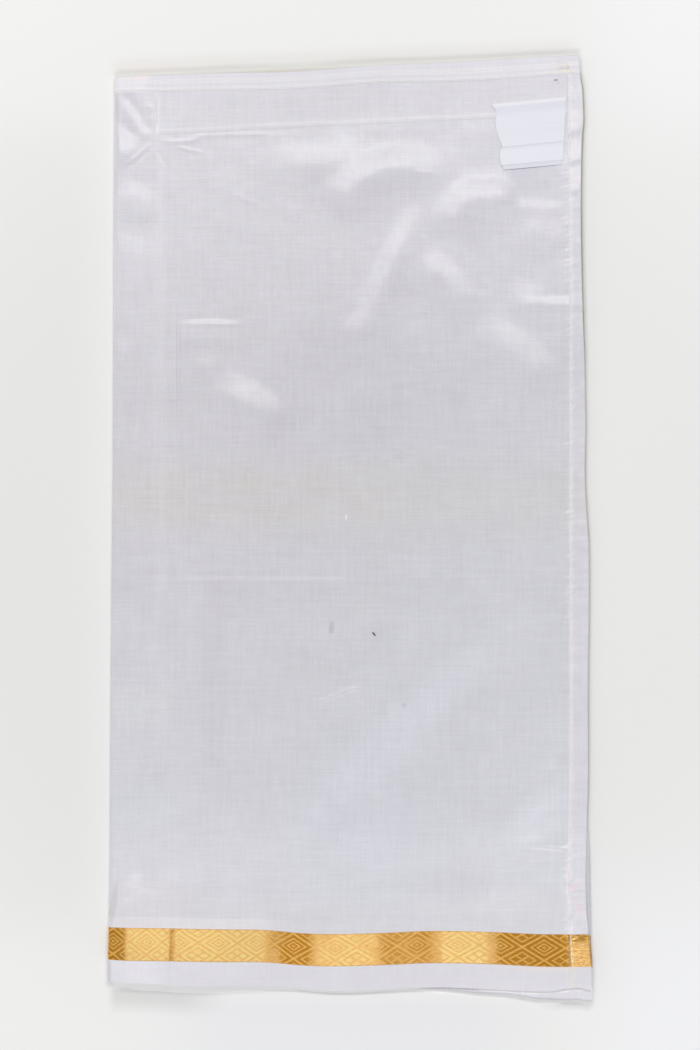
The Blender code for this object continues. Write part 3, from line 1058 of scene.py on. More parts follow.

# Marks on the cloth: soft-edged ovals, some of them painted highlights and painted shade.
CLOTH_MARKS = (
    # x, y, half length, half width, angle, colour, strength
    (-9.3, -52.9, 3.6, 1.6, 84, SMUDGE_BLUE, 0.42),
    (13.1, -56.4, 1.5, 0.5, 128, DARK, 0.95),
    (29.0, -94.2, 1.5, 1.4, 0, SMUDGE_GREY, 0.55),
    (-1.7, 5.6, 0.5, 1.8, 0, SLUB_PALE, 0.8),
    (109.5, 237.2, 1.1, 0.35, 4, DARK, 0.9),
    (110.7, 235.6, 0.9, 0.3, 90, DARKER_MAUVE, 0.7),
    # painted shade along an upright crease
    (-91.3, 88.0, 28.0, 0.45, 90, DARKER_MAUVE, 0.4),
    (-89.5, 88.0, 24.0, 0.4, 90, DARKER_MAUVE, 0.25),
    (-100.5, 60.0, 170.0, 4.0, 90, WHITER, 0.13),
    # painted highlights on soft folds beside the left fold, and painted shade between two of them
    (-109.5, 174.0, 14.0, 9.0, -30, WHITER, 0.20),
    (-112.0, 148.0, 17.0, 14.0, 20, WHITER, 0.15),
    (-113.0, 163.0, 10.0, 2.5, 0, SHADE_GREY, 0.25),
    (-114.0, 120.0, 12.0, 16.0, 90, WHITER, 0.10),
    (-121.0, 96.0, 8.0, 4.0, 90, WHITER, 0.20),
    # painted shade along the round left fold's edge by the waist
    (-122.6, 221.5, 8.0, 1.6, 90, SHADE_GREY, 0.55),
    (98.0, 186.5, 18.0, 9.5, 4, SHADED_BLUE, 0.36),
    (-5.0, 74.0, 70.0, 36.0, 0, DARKER_MAUVE, 0.07),
    (-112.0, -198.0, 34.0, 13.0, 0, PINKISH, 0.24),
    (-60.0, -204.0, 90.0, 8.0, 0, PINKISH, 0.15),
    (100.0, -204.0, 60.0, 8.0, 0, PINKISH, 0.15),
    (-71.7, -78.0, 62.0, 9.0, 90, MAUVE, 0.20),
    (-112.0, -94.0, 18.0, 10.0, 0, COOL_GREY, 0.35),
    (-110.0, -148.0, 18.0, 12.0, 0, SOFT_BLUE, 0.35),
    (-90.0, -178.0, 46.0, 18.0, 0, SOFT_MAUVE, 0.20),
    (12.0, -150.0, 40.0, 46.0, 0, MIDDLE_BLUE, 0.35),
    # painted sheen along a low fold
    (25.0, -110.0, 78.0, 14.0, 45, PAINTED_SHEEN_BLUE, 0.36),
    (57.0, -190.0, 22.0, 9.0, 0, DULL_MAUVE, 0.22),
    (78.0, -199.0, 46.0, 8.0, 0, PALE_MAUVE, 0.28),
    # painted sheen along a fold by the side hem
    (104.0, -152.0, 24.0, 13.0, 40, PAINTED_SHEEN_PALE_BLUE, 0.48),
    # painted shade on the side of the left fold, and a painted highlight on a fold beside it
    (-125.0, -199.5, 13.0, 1.9, 83, FOLD_SHADE, 0.42),
    (-115.0, -187.6, 7.0, 3.4, 55, WHITER, 0.28),
    # painted shade in the valley between two folds
    (16.0, 182.0, 18.0, 7.0, 10, DARKER_MAUVE, 0.12),
)
HEM_MARKS = (
    # x, y, half length, half width, angle, colour, strength
    (-110.0, 238.4, 5.5, 1.6, 3, HEM_PINKISH, 0.60),
    (-116.0, 232.4, 13.0, 0.8, 2, ROW_PALE, 0.85),
    (121.0, 120.0, 60.0, 9.0, 90, DARKER_MAUVE, 0.12),
    (119.5, 216.0, 6.5, 3.6, 90, HEM_BRIGHT, 0.60),
    (119.4, 208.6, 5.5, 2.0, 22, DARKER_MAUVE, 0.50),
    (119.6, 201.0, 7.0, 3.6, 90, HEM_BRIGHT, 0.60),
    (120.4, 193.2, 5.0, 1.9, 22, DARKER_MAUVE, 0.50),
    (119.8, 186.0, 6.5, 3.6, 90, HEM_BRIGHT, 0.55),
    (119.4, 177.0, 5.0, 1.8, 24, DARKER_MAUVE, 0.35),
    (116.6, -184.8, 6.6, 0.6, 88, CHALK, 0.50),
    (119.2, -191.2, 3.6, 2.0, 8, CHALK, 0.45),
    (121.9, -201.4, 5.6, 1.4, -60, CHALK, 0.50),
    (112.6, 243.6, 1.5, 0.8, 0, BROWN, 0.40),
    (115.6, 243.8, 1.2, 1.1, 0, BROWN, 0.50),
    (113.8, 245.8, 3.4, 1.0, 4, ORANGE_STAIN, 0.35),
    (113.8, 241.4, 7.0, 0.6, 5, STRAW_STAIN, 0.6),
)

# Painted light and shade up the cloth's length, for how the light falls on it.
CLOTH_PAINTED_LIGHT = (
    # y, share
    (-225, 1.09),
    (-180, 1.09),
    (-140, 1.02),
    (-60, 1.00),
    (-20, 0.98),
    (60, 0.970),
    (95, 0.975),
    (115, 1.000),
    (150, 1.020),
    (190, 1.025),
    (225, 1.040),
)

# The same across its width, added on.
CLOTH_PAINTED_LIGHT_ACROSS = (
    # x, share
    (-128, 0.030),
    (-104, 0.030),
    (-70, 0.015),
    (-30, 0.000),
    (15, -0.012),
    (55, 0.005),
    (85, 0.025),
    (128, 0.030),
)

# Stretches of another tone, with straight edges.
CASING_BANDS = (
    # x from, x to, y from, y to, edge, colour, strength
    (-103.6, -100.6, 206.0, 232.0, 0.7, ROW_PALE, 0.55),
)
HEM_BANDS = (
    # x from, x to, y from, y to, edge, colour, strength
    (-140.0, -107.5, 228.0, 250.0, 3.0, HEM_WHITER, 0.80),
)
FOOT_BANDS = (
    # x from, x to, y from, y to, edge, colour, strength
    (117.0, 119.2, -243.4, -231.6, 0.3, BEIGE, 0.6),
    # painted light on the lifted lower left corner
    (-140.0, -100.0, -260.0, -228.0, 6.0, WHITER, 0.30),
    (-131.0, -126.2, -245.0, -229.5, 0.5, FOOT_SHADE, 0.62),
)

# Where the second ply shows: painted light below the top ply's lower edge, and painted shade by its
# right edge.
UNDER_BAND_MARKS = (
    # x, y, half length, half width, angle, colour, strength
    (76.0, -245.2, 10.0, 1.1, -3, UNDER_PAINTED_LIGHT, 0.80),
    (86.0, -245.6, 10.0, 1.1, -3, UNDER_PAINTED_LIGHT, 0.80),
    (98.0, -246.1, 8.0, 1.1, 0, UNDER_PAINTED_LIGHT, 0.80),
    (107.0, -245.8, 5.0, 1.1, 8, UNDER_PAINTED_LIGHT, 0.80),
    (115.0, -245.0, 6.0, 1.1, 12, UNDER_PAINTED_LIGHT, 0.80),
    (122.0, -244.5, 5.0, 1.1, 0, UNDER_PAINTED_LIGHT, 0.80),
    (127.5, -245.0, 3.5, 1.1, -15, UNDER_PAINTED_LIGHT, 0.80),
)
UNDER_MARKS = (
    # x, y, half length, half width, angle, colour, strength
    (127.2, -196.0, 36.0, 1.8, 90, UNDER_SHADE, 0.50),
)
FOOT_MARKS = (
    # x, y, half length, half width, angle, colour, strength
    (103.0, -233.0, 20.0, 3.0, 0, PEACH, 0.30),
)

# Noise drawn out to streaks of a width along x and a length along y, in millimetres.
STREAKS = {
    # name: (width, length, detail, seed)
    "warp": (0.8, 10.0, 2.0, 0.0),
    "warp slubs": (1.9, 40.0, 2.0, 3.0),
    "weft": (11.0, 0.8, 2.0, 5.0),
    "weft slubs": (44.0, 1.9, 2.0, 8.0),
    "patches": (24.0, 20.0, 3.0, 11.0),
    "fine": (0.5, 0.5, 1.0, 13.0),
    "soft": (13.0, 17.0, 2.0, 15.0),
    "mottle": (9.0, 7.0, 3.0, 17.0),
    "aged": (22.0, 10.0, 4.0, 19.0),
    "smudges": (7.0, 6.0, 1.0, 45.0),
    "gold floats": (2.6, 0.42, 3.0, 21.0),
    "gold grain": (0.5, 0.5, 1.0, 23.0),
    "gold glow": (9.0, 5.0, 2.0, 27.0),
    "gold worn": (0.9, 0.5, 2.0, 28.0),
    "gold long floats": (4.5, 0.45, 2.0, 29.0),
    "ribs": (20.0, 0.5, 1.0, 31.0),
    "twist": (0.35, 0.9, 1.0, 35.0),
    "floor grain": (3.0, 3.0, 4.0, 41.0),
}

# Ramps of the silky cloth's tone: a start, an end and the shares there, if not 0 and 1. It turns
# bluer down the cloth and across it, is yellowed in a belt and is paler just above the border.
BLUER_DOWN = (210.0, -190.0)
BLUER_ACROSS = (-70.0, 60.0)
YELLOWED_BESIDE = (27.0, 4.0)
YELLOWED_ACROSS = (-20.0, 70.0, 0.80, 0.52)
STRIP_ACROSS = (-22.0, -58.0, 0.10, 0.78)

# Where the middle of the yellowed belt lies, and how soft the edge of the pale strip is.
YELLOWED_Y = 16.0
STRIP_EDGE = 0.3

# The pale line along a row of stitches.
ROW_HALF_WIDTH = 1.1
ROW_SOFTNESS = 0.7

# Painted light: cloth that turns away from above is lighter by this ramp, and more so towards the
# waist.
TURNED_AWAY = (0.03, 0.45)
TURNED_AWAY_LIGHTER = (0.0, 130.0, 0.15, 0.24)

# Gold thread, where the light catches it and where it doesn't.
ZARI_BRIGHT_GROUND = (1.0, 0.655, 0.265)
ZARI_BRIGHT_LINE = (0.86, 0.475, 0.130)
ZARI_DARK_GROUND = (0.46, 0.20, 0.013)
ZARI_DARK_LINE = (0.86, 0.50, 0.135)
ZARI_EDGE = (0.62, 0.33, 0.08)
FACE_LIGHTNESS = 1.14
REVERSE_LIGHTNESS = 0.82

# Where the border's reverse is shaded: x, y, half length, half width and angle of an oval.
REVERSE_SHADED_TOP = (121.0, -217.0, 8.0, 3.0, 0)
REVERSE_SHADED_EDGE = (129.6, -222.0, 10.0, 2.0, 90)

# How brightly the border's ground shines along it.
ZARI_GLOW = (
    # x, glow
    (-128, 0.0),
    (-120.5, 0.1),
    (-116.5, 0.85),
    (-97, 1.0),
    (-94, 0.35),
    (-91, 0.95),
    (-50, 1.0),
    (-40, 0.45),
    (-32, 0.05),
    (-24, 0.1),
    (-15, 0.7),
    (-3, 0.85),
    (10, 0.75),
    (20, 0.30),
    (40, 0.28),
    (47, 0.50),
    (52, 0.95),
    (69, 1.0),
    (76, 0.55),
    (81, 0.1),
    (112, 0.0),
    (118, 0.4),
)

# The diamond figure steps from thread to thread: threads in one diamond and down the border.
PICKS_PER_DIAMOND = 40.0
ENDS_ACROSS_BORDER = 42.0

# Where the diamonds' middle lies down the border, and half their depth, as shares of the border.
DIAMOND_MIDDLE = 0.42
DIAMOND_HALF_DEPTH = 0.39

# Lines of the figure, each at a share of the way from a diamond's middle to its side.
LATTICE = 1.0
OUTER_RING = 0.60
INNER_RING = 0.31
LATTICE_LINE = (0.075, 0.05)
RING_LINE = (0.055, 0.045)
DOT = (0.10, 0.05)

# Where a cross fades out inside its ring, and where the border's edge starts and is full, as shares
# of the border's depth from its middle.
CROSS_END = (0.62, 0.56)
BORDER_EDGE = (0.465, 0.49)

# Shares of the way down the label: its seam, the ribbon below the seam, its fold and its lower end.
LABEL_SEAM = (0.10, 0.045)
LABEL_BELOW_SEAM = (0.065, 0.09)
LABEL_BELOW_SEAM_ENDS = (0.26, 0.12)
LABEL_FOLD = 0.71
LABEL_FOLD_LINE = (0.024, 0.006)
LABEL_END = (0.985, 1.005)

# The floor, and the colours painted on it for the cloth's shade and for the light from the cloth.
FLOOR = (0.845, 0.845, 0.836)
FLOOR_SHADE_NEAR_WAIST = (0.795, 0.783, 0.762)
FLOOR_SHADE_NEAR_LEFT_WAIST = (0.805, 0.780, 0.757)
FLOOR_LIT_OLIVE_SHADOW = (0.890, 0.880, 0.830)
FLOOR_RIGHT_LOW = (0.874, 0.877, 0.894)
FLOOR_RIGHT_WAIST = (0.870, 0.872, 0.871)
FLOOR_SHADE_BESIDE_RIGHT = (0.640, 0.640, 0.615)
FLOOR_LOWER = (0.815, 0.817, 0.832)
SHADOW_LINE_BROWN = (0.60, 0.50, 0.40)
SHADOW_LINE_OLIVE = (0.42, 0.39, 0.30)

# The waist edge as a straight line: where it crosses x = 0, and how far it rises each mm to the right.
WAIST_LINE_Y = 244.4
WAIST_LINE_SLOPE = 0.0475

# How far the light below the lower edge reaches, in mm: further where the edge is lifted on the left
# and on the right, and less far at the left corner. Its strength ramps from one x to another.
LIT_REACH = 1.3
LIT_LEFT, LIT_CORNER, LIT_RIGHT = 3.3, 1.2, 0.9
LIT_STRENGTH = (0.0, 50.0, 0.31, 0.21)

# How strong the painted shade beyond that light is, and the shade and thin shadow lines by other edges.
DIM_LEFT, DIM_RIGHT, DIM_FAR_LEFT = 0.19, 0.17, 0.04
RIGHT_SHADE, RIGHT_LINE, WAIST_LINE = 0.75, 0.85, 0.35

# Edges as shares of a range of millimetres, for the shade painted on the floor beside them.
EDGE_RANGE = 10.0
RIGHT_START, LOWER_START = 120.0, -250.0
RIGHT_EDGE_SHARES = [(y, (x - RIGHT_START) / EDGE_RANGE) for y, x in RIGHT_EDGE]
LOWER_EDGE_SHARES = [(x, (y - LOWER_START) / EDGE_RANGE) for x, y in LOWER_EDGE]
SECOND_PLY_SHARES = [(x, max(out, 0.0) / EDGE_RANGE) for x, out in SECOND_PLY_LOWER]

# ---------------------------------------------------------------------------------------------
# Materials.


def silky_colour(x, y, colours, mottle):
    """Two tones of the cloth, bluer to the lower right, with mottles and a yellowed belt across it."""
    bluer = y.ramp(*BLUER_DOWN) + x.ramp(*BLUER_ACROSS) * 0.5 - 0.2
    colour = blend(bluer.ramp(-0.1, 1.1), *colours)
    colour = blend(mottle.ramp(0.45, 0.70) * 0.5, colour, GREY_BLUE_LIGHT)
    aged = streaks(x, y, "aged").ramp(0.0, 0.8)
    yellowed = (y - YELLOWED_Y).abs().ramp(*YELLOWED_BESIDE) * aged * x.ramp(*YELLOWED_ACROSS)
    return blend(yellowed, colour, YELLOWISH)


def beside_seam(x, colour, seam_strip, rows, row_strength):
    """The colour with the denser strip and the pale rows that lie beside a seam."""
    from_seam = uv_values(x.tree)[1]
    if seam_strip:
        in_strip = from_seam.ramp(seam_strip + STRIP_EDGE, seam_strip - STRIP_EDGE)
        colour = blend(in_strip * x.ramp(*STRIP_ACROSS), colour, STRIP_PALE)
    for row in rows:
        beside_row = line_mask((from_seam - row).abs(), ROW_HALF_WIDTH, ROW_SOFTNESS)
        colour = blend(beside_row * row_strength, colour, ROW_PALE)
    return colour


def marked(x, y, colour, bands, marks):
    """The colour with its stretches of another tone and its marks."""
    for *sides, tint, strength in bands:
        colour = blend(rectangle(x, y, *sides) * strength, colour, tint)
    for *outline, tint, strength in marks:
        colour = blend(oval(x, y, *outline) * strength, colour, tint)
    return colour


def woven(
    name,
    colours,
    roughness,
    threads=1.0,
    marks=(),
    bands=(),
    seam_strip=0.0,
    rows=(),
    row_strength=0.5,
    smudges=0.0,
):
    """Thin silky plain weave with slubs: irregular threads both ways, in colour and in relief.

    threads is how strongly they show. V of the UV map is the distance from a seam: seam_strip is how
    far a denser strip reaches from it, and rows are where the cloth is pale along its stitches."""
    gloss = {"Roughness": roughness, "IOR": 1.5, "Sheen_Weight": 0.10, "Sheen_Roughness": 0.4}
    made, x, y = new_material(name, **gloss)
    warp = streaks(x, y, "warp") + streaks(x, y, "warp slubs") * 0.8
    weft = streaks(x, y, "weft") + streaks(x, y, "weft slubs") * 0.8
    weave = (warp + weft) * 0.5
    fine = streaks(x, y, "fine")
    mottle = streaks(x, y, "mottle")
    colour = silky_colour(x, y, colours, mottle)
    if seam_strip or rows:
        colour = beside_seam(x, colour, seam_strip, rows, row_strength)
    colour = marked(x, y, colour, bands, marks)
    shade = (weave - 0.9) * (0.26 * threads) + (fine - 0.5) * 0.02
    shade = shade + (streaks(x, y, "patches") - 0.5) * 0.10 + (mottle - 0.5) * 0.05
    if smudges:
        shade = shade + (streaks(x + y * 0.6, y, "smudges") - 0.5) * smudges
    # painted light where the cloth turns away from above, and painted light and shade up and across it
    turned_away = (facing_up(x.tree) * -1.0 + 1.0).ramp(*TURNED_AWAY)
    shade = shade + turned_away * y.ramp(*TURNED_AWAY_LIGHTER)
    shade = shade + along_table(y, CLOTH_PAINTED_LIGHT) + along_table(x, CLOTH_PAINTED_LIGHT_ACROSS)
    relief = (weave + fine * 0.25) * 0.05 + streaks(x, y, "soft") * 0.35
    return dressed(made, lighten(colour, shade), relief, 1.0)


def diamond_lines(tree):
    """(line share, edge share) of the diamond brocade, from the border's UV map.

    U counts the big diamonds along the border and V is the depth down it, from 0 to 1. Every second
    diamond of the lattice holds a nested one with a dot, and the others a cross."""
    count, depth = uv_values(tree)
    count = (count * PICKS_PER_DIAMOND).rounded() / PICKS_PER_DIAMOND
    depth = (depth * ENDS_ACROSS_BORDER).rounded() / ENDS_ACROSS_BORDER
    u = count * 2.0
    v = (depth - DIAMOND_MIDDLE) / DIAMOND_HALF_DEPTH
    p, q = (u + v) * 0.5, (u - v) * 0.5
    i, j = p.rounded(), q.rounded()
    a, b = (p - i).abs() * 2.0, (q - j).abs() * 2.0
    ring = a.largest(b)
    odd = (i + j).abs().parity()
    lattice = line_mask((ring - LATTICE).abs(), *LATTICE_LINE)
    outer = line_mask((ring - OUTER_RING).abs(), *RING_LINE)
    inner = line_mask((ring - INNER_RING).abs(), *RING_LINE)
    nested = inner.largest(line_mask(ring, *DOT))
    cross = line_mask(a.smallest(b), *RING_LINE) * ring.ramp(*CROSS_END)
    figure = nested + (cross - nested) * odd
    lines = lattice.largest(outer).largest(figure)
    return lines, (depth - 0.5).abs().ramp(*BORDER_EDGE)


def zari_face(x, y, floats):
    """(colour, height) of the border's face, with its figure of diamonds."""
    lines, edge = diamond_lines(x.tree)
    uneven = (streaks(x, y, "gold glow") - 0.5) * 0.55
    glow = (along_table(x, ZARI_GLOW) + uneven).ramp(0.0, 1.0)
    ground = blend(glow, ZARI_DARK_GROUND, ZARI_BRIGHT_GROUND)
    figure = blend(glow, ZARI_DARK_LINE, ZARI_BRIGHT_LINE)
    worn = (streaks(x, y, "gold worn") - 0.5) * 1.7 + 0.95
    colour = blend((lines * worn).smallest(1.0), ground, figure)
    return blend(edge * 0.7, colour, ZARI_EDGE), lines * -0.6 + floats * 0.6


def zari_reverse(x, y):
    """(colour, height) of the border's reverse: loose floats, shaded at its top and at its edge."""
    height = (streaks(x, y, "gold long floats") - 0.5) * 3.0 + 0.5
    colour = blend(height.ramp(0.0, 1.0), ZARI_BRIGHT_LINE, ZARI_BRIGHT_GROUND)
    at_top = oval(x, y, *REVERSE_SHADED_TOP) * height.ramp(1.0, 0.2)
    colour = blend(at_top, colour, ZARI_DARK_GROUND)
    at_edge = oval(x, y, *REVERSE_SHADED_EDGE) * 0.8
    return blend(at_edge, colour, ZARI_DARK_GROUND), height


def zari(name, reverse=False):
    """Woven metallic gold."""
    made, x, y = new_material(name, Roughness=0.42, Metallic=0.75, IOR=1.5)
    floats = streaks(x, y, "gold floats")
    colour, height = zari_reverse(x, y) if reverse else zari_face(x, y, floats)
    lightness = REVERSE_LIGHTNESS if reverse else FACE_LIGHTNESS
    shade = (floats - 0.5) * 0.9 + (streaks(x, y, "gold grain") - 0.5) * 0.35 + lightness
    return dressed(made, lighten(colour, shade), height, 0.10)


def ribbon(name):
    """Smooth woven ribbon with fine ribs across it. V of its UV map runs down it from 0 to 1."""
    made, x, y = new_material(name, Roughness=0.5, IOR=1.5)
    ribs = streaks(x, y, "ribs")
    down = uv_values(x.tree)[1]
    below_seam = down.ramp(*LABEL_BELOW_SEAM) * down.ramp(*LABEL_BELOW_SEAM_ENDS)
    colour = blend(below_seam * 0.30, RIBBON, RIBBON_BLUE)
    colour = blend(down.ramp(*LABEL_SEAM) * 0.6, colour, RIBBON_TOP)
    # painted shade along the fold line, and on the under half below the upper half's end
    colour = blend((down - LABEL_FOLD).abs().ramp(*LABEL_FOLD_LINE) * 0.5, colour, RIBBON_FOLD_SHADE)
    colour = blend(down.ramp(*LABEL_END), colour, RIBBON_SHADED)
    return dressed(made, lighten(colour, (ribs - 0.5) * 0.06 + 1.0), ribs, 0.03)


def thread(name, colour):
    """Twisted sewing thread."""
    made, x, y = new_material(name, Roughness=0.6, IOR=1.5)
    twist = streaks(x + y, y - x, "twist")
    return dressed(made, lighten(colour, (twist - 0.5) * 0.15 + 1.0), twist, 0.05)


def below_lower_edge(x, y):
    """Light and shade on the floor below the lower edge. It reaches out where the stack is lifted."""
    lower_edge = along_table(x, LOWER_EDGE_SHARES) * EDGE_RANGE + LOWER_START
    second_ply = along_table(x, SECOND_PLY_SHARES) * EDGE_RANGE
    below = lower_edge - second_ply - y
    left, corner, right = x.ramp(-20.0, -75.0), x.ramp(-105.0, -125.0), x.ramp(80.0, 115.0)
    reach = left * LIT_LEFT - corner * LIT_CORNER + right * LIT_RIGHT + LIT_REACH
    lit = (reach - below).ramp(-1.3, 0.0) * below.ramp(-9.0, -6.0) * x.ramp(*LIT_STRENGTH)
    dim_left = below.ramp(4.6, 6.0) * below.ramp(20.0, 8.0) * x.ramp(-60.0, -95.0)
    dim_right = below.ramp(2.4, 3.4) * below.ramp(7.5, 3.5) * x.ramp(98.0, 118.0)
    along_lower = x.ramp(-129.0, -124.0) * x.ramp(131.0, 126.0)
    return (lit - dim_left * DIM_LEFT - dim_right * DIM_RIGHT) * along_lower


def beside_waist_edge(x, y, colour):
    """Painted shade and light along the waist edge, olive near it, and a thin brown shadow line."""
    from_waist = (y - x * WAIST_LINE_SLOPE - WAIST_LINE_Y).abs() + x.ramp(-120.0, 100.0, 0.0, 1.0)
    along_waist = x.ramp(-130.0, -120.0) * x.ramp(126.0, 114.0)
    outer = blend(x.ramp(-20.0, -110.0), FLOOR_SHADE_NEAR_WAIST, FLOOR_SHADE_NEAR_LEFT_WAIST)
    colour = blend(from_waist.ramp(14.0, 6.0) * along_waist, colour, outer)
    colour = blend(from_waist.ramp(4.4, 2.0) * along_waist, colour, FLOOR_LIT_OLIVE_SHADOW)
    line = from_waist.ramp(1.6, 0.6) * x.ramp(-90.0, -70.0) * x.ramp(60.0, -50.0)
    return blend(line * WAIST_LINE, colour, SHADOW_LINE_BROWN)


def beside_right_edge(x, y, colour):
    """The floor's colour with painted shade along the right edge, and a thin olive shadow line."""
    right_edge = along_table(y, RIGHT_EDGE_SHARES) * EDGE_RANGE + RIGHT_START
    along_right = y.ramp(70.0, 115.0, 0.45, 1.0) * y.ramp(244.0, 238.0) * y.ramp(-236.0, -200.0)
    shade = (x - right_edge).ramp(4.6, 0.0) * (x - right_edge).ramp(-6.0, -3.0) * along_right
    colour = blend(shade * RIGHT_SHADE, colour, FLOOR_SHADE_BESIDE_RIGHT)
    line = (x - right_edge - 0.3).abs().ramp(1.3, 0.3) * along_right
    return blend(line * RIGHT_LINE, colour, SHADOW_LINE_OLIVE)


def floor_paint(name):
    """A pale floor, painted a little lighter far out, and painted light and shade by the cloth."""
    made, x, y = new_material(name, Roughness=0.7, IOR=1.4)
    outward = (x * x + y * y).root().ramp(170.0, 340.0, 0.0, 0.08)
    beside_left = x.ramp(-120.0, -150.0) * y.abs().ramp(235.0, 190.0)
    shade = (streaks(x, y, "floor grain") - 0.5) * 0.012 + 1.0 + outward - beside_left * DIM_FAR_LEFT
    shade = shade + below_lower_edge(x, y)
    colour = blend(y.ramp(-246.0, -256.0) * x.abs().ramp(120.0, 60.0), FLOOR, FLOOR_LOWER)
    colour = blend(x.ramp(100.0, 170.0) * y.ramp(-150.0, -240.0), colour, FLOOR_RIGHT_LOW)
    colour = blend(x.ramp(100.0, 170.0) * y.ramp(180.0, 250.0), colour, FLOOR_RIGHT_WAIST)
    colour = beside_right_edge(x, y, beside_waist_edge(x, y, colour))
    return dressed(made, lighten(colour, shade))


# ---------------------------------------------------------------------------------------------
# The top ply and its border.

# How wide and how long a cell of each part's grid is.
PANEL_CELL = (1.3, 1.12)
SEAM_ZONE_CELL = (0.8, 0.55)
BORDER_CELL = (0.5, 0.55)
BAND_CELL = (0.8, 0.6)
WAIST_CELL = (0.9, 0.6)
SIDE_CELL = (0.6, 0.6)

# The strip of the top ply beside the side hem, which its stitches pucker, has a finer grid.
SEAM_ZONE = 10.0
SEAM_ZONE_START = HEM_COLUMN - SEAM_ZONE / COLUMN_SPANS[1]

# Columns round the left fold: one on the floor, and then up round the half circle.
WRAP_COLUMNS = np.concatenate([[-2.0], np.linspace(-1.0, FOLD_COLUMN, 13)[:-1]])

# Heights on the middle of the panel where sharp creases cross it, and the cells have to be finer.
CREASED_AT = (209, 206, 203, 200, 197, 194, 119, 117.5, 109, 107.5, 41, -25, -28, -84, -87, -90, -93)
CREASED_AT += (-169, -171, -184, -188, -191)
CREASED_REACH = 2.0


def row_at(y):
    """The row that passes through a height on the middle of the panel."""
    top, low = read(CASING_SEAM, 0.0), read(BORDER_SEAM, 0.0)
    return CASING_ROW + (top - y) / (top - low)


def panel_rows(cell):
    """Rows of the top ply, from the waist edge to the border."""
    stations = even(WAIST_ROW, BORDER_ROW, ROW_SPANS, cell)
    return refined(stations, ROW_SPANS, [row_at(y) for y in CREASED_AT], CREASED_REACH, 2)


def wrapped_columns(last, cell):
    """Columns from underneath the left fold round it and on to the last one."""
    return np.concatenate([WRAP_COLUMNS, even(FOLD_COLUMN, last, COLUMN_SPANS, cell)])


def panel_uv(x, y):
    """U is the distance left of the side hem's seam, and V the distance above the border's, in mm."""
    return read(SIDE_HEM_SEAM, y) - x, y - read(BORDER_SEAM, x)


def front_panel(finish):
    """The panel's two stretches: the plain one with the fold, and the one along the side hem."""
    across, down = PANEL_CELL
    columns = wrapped_columns(SEAM_ZONE_START, across)
    points = panel_point(*np.meshgrid(columns, panel_rows(down)))
    plain = add_grid("panel_cloth", points, finish, uv_map(points, panel_uv))
    across, down = SEAM_ZONE_CELL
    columns = even(SEAM_ZONE_START, RIGHT_COLUMN, COLUMN_SPANS, across)
    points = panel_point(*np.meshgrid(columns, panel_rows(down)))
    return plain, add_grid("panel_cloth_beside_hem", points, finish, uv_map(points, panel_uv))


def motif_uv(points, columns):
    """U counts the diamonds along the border, and V is the depth down it."""
    rows = points.shape[0]
    arc = np.where(columns < 0, np.abs(columns) * math.pi * PANEL_TOP / 2, 0.0)
    at_fold = np.maximum(columns, 0.0)
    x = column_x(np.broadcast_to(at_fold, points.shape[:2]), points[..., 1])
    u = read(MOTIF_CENTRES, x) - arc[None] / MOTIF_PITCH_AT_FOLD
    v = np.broadcast_to(np.linspace(0.0, 1.0, rows)[:, None], u.shape)
    return np.stack([u, v], axis=-1)


def zari_border(finish):
    """The gold border, woven a little thicker than the cloth."""
    across, down = BORDER_CELL
    columns = wrapped_columns(HEM_COLUMN, across)
    points, normals = panel_face(columns, even(BORDER_ROW, BAND_ROW, ROW_SPANS, down))
    points = points + normals * ZARI_RISE
    return add_grid("border_brocade", points, finish, motif_uv(points, columns))


def bottom_band(finish):
    """The plain band below the border, turned under along the lower edge."""
    across, down = BAND_CELL
    columns = wrapped_columns(RIGHT_COLUMN, across)
    points, normals = panel_face(columns, even(BAND_ROW, LOWER_ROW, ROW_SPANS, down))
    points, normals = turned_side(points, normals, "lower", CLOTH_THICKNESS, BAND_TURN_ROWS)
    return add_grid("band_cloth", points, finish)


# ---------------------------------------------------------------------------------------------
# The hems and the waist casing.

# Height of the ridge along the casing's edge, how far it lies above the seam, and its half width.
CASING_RIDGE = 0.10
CASING_RIDGE_UP = 1.5
CASING_RIDGE_WIDTH = 1.6


def top_hem_uv(x, y):
    """U is the distance from the casing's end, and V the distance above the hem's seam, in mm."""
    return x - CASING_END_X, y - hem_seam(x)


def casing_uv(x, y):
    """U is the distance from the casing's end, and V the distance above its seam, in mm."""
    return x - CASING_END_X, y - casing_seam(x)


def side_hem_uv(x, y):
    """U is y, and V the distance to the right of the hem's seam, in mm."""
    return y, x - read(SIDE_HEM_SEAM, y)


def casing_ridge(x, y):
    """The casing's edge is drawn up to a narrow ridge by its stitches."""
    above_ridge = y - casing_seam(x) - CASING_RIDGE_UP
    return CASING_RIDGE * np.exp(-((above_ridge / CASING_RIDGE_WIDTH) ** 2))


def waist_strips(hem, cloth):
    """The waist hem, which runs round the left fold, and the casing below it."""
    across, down = WAIST_CELL
    columns = wrapped_columns(RIGHT_COLUMN, across)
    rows = even(WAIST_ROW, HEM_ROW, ROW_SPANS, down)
    lips, turns = ("right", "lower"), ("waist",)
    top_hem = strip("hem_at_waist", hem, columns, rows, HEM_RISE, lips, turns, uv=top_hem_uv)
    columns = even(CASING_COLUMN, HEM_COLUMN, COLUMN_SPANS, across)
    rows = even(HEM_ROW, CASING_ROW, ROW_SPANS, down)
    lips, form = ("left", "lower"), {"ridge": casing_ridge, "uv": casing_uv}
    return top_hem, strip("casing_cloth", cloth, columns, rows, STRIP_RISE, lips, **form)


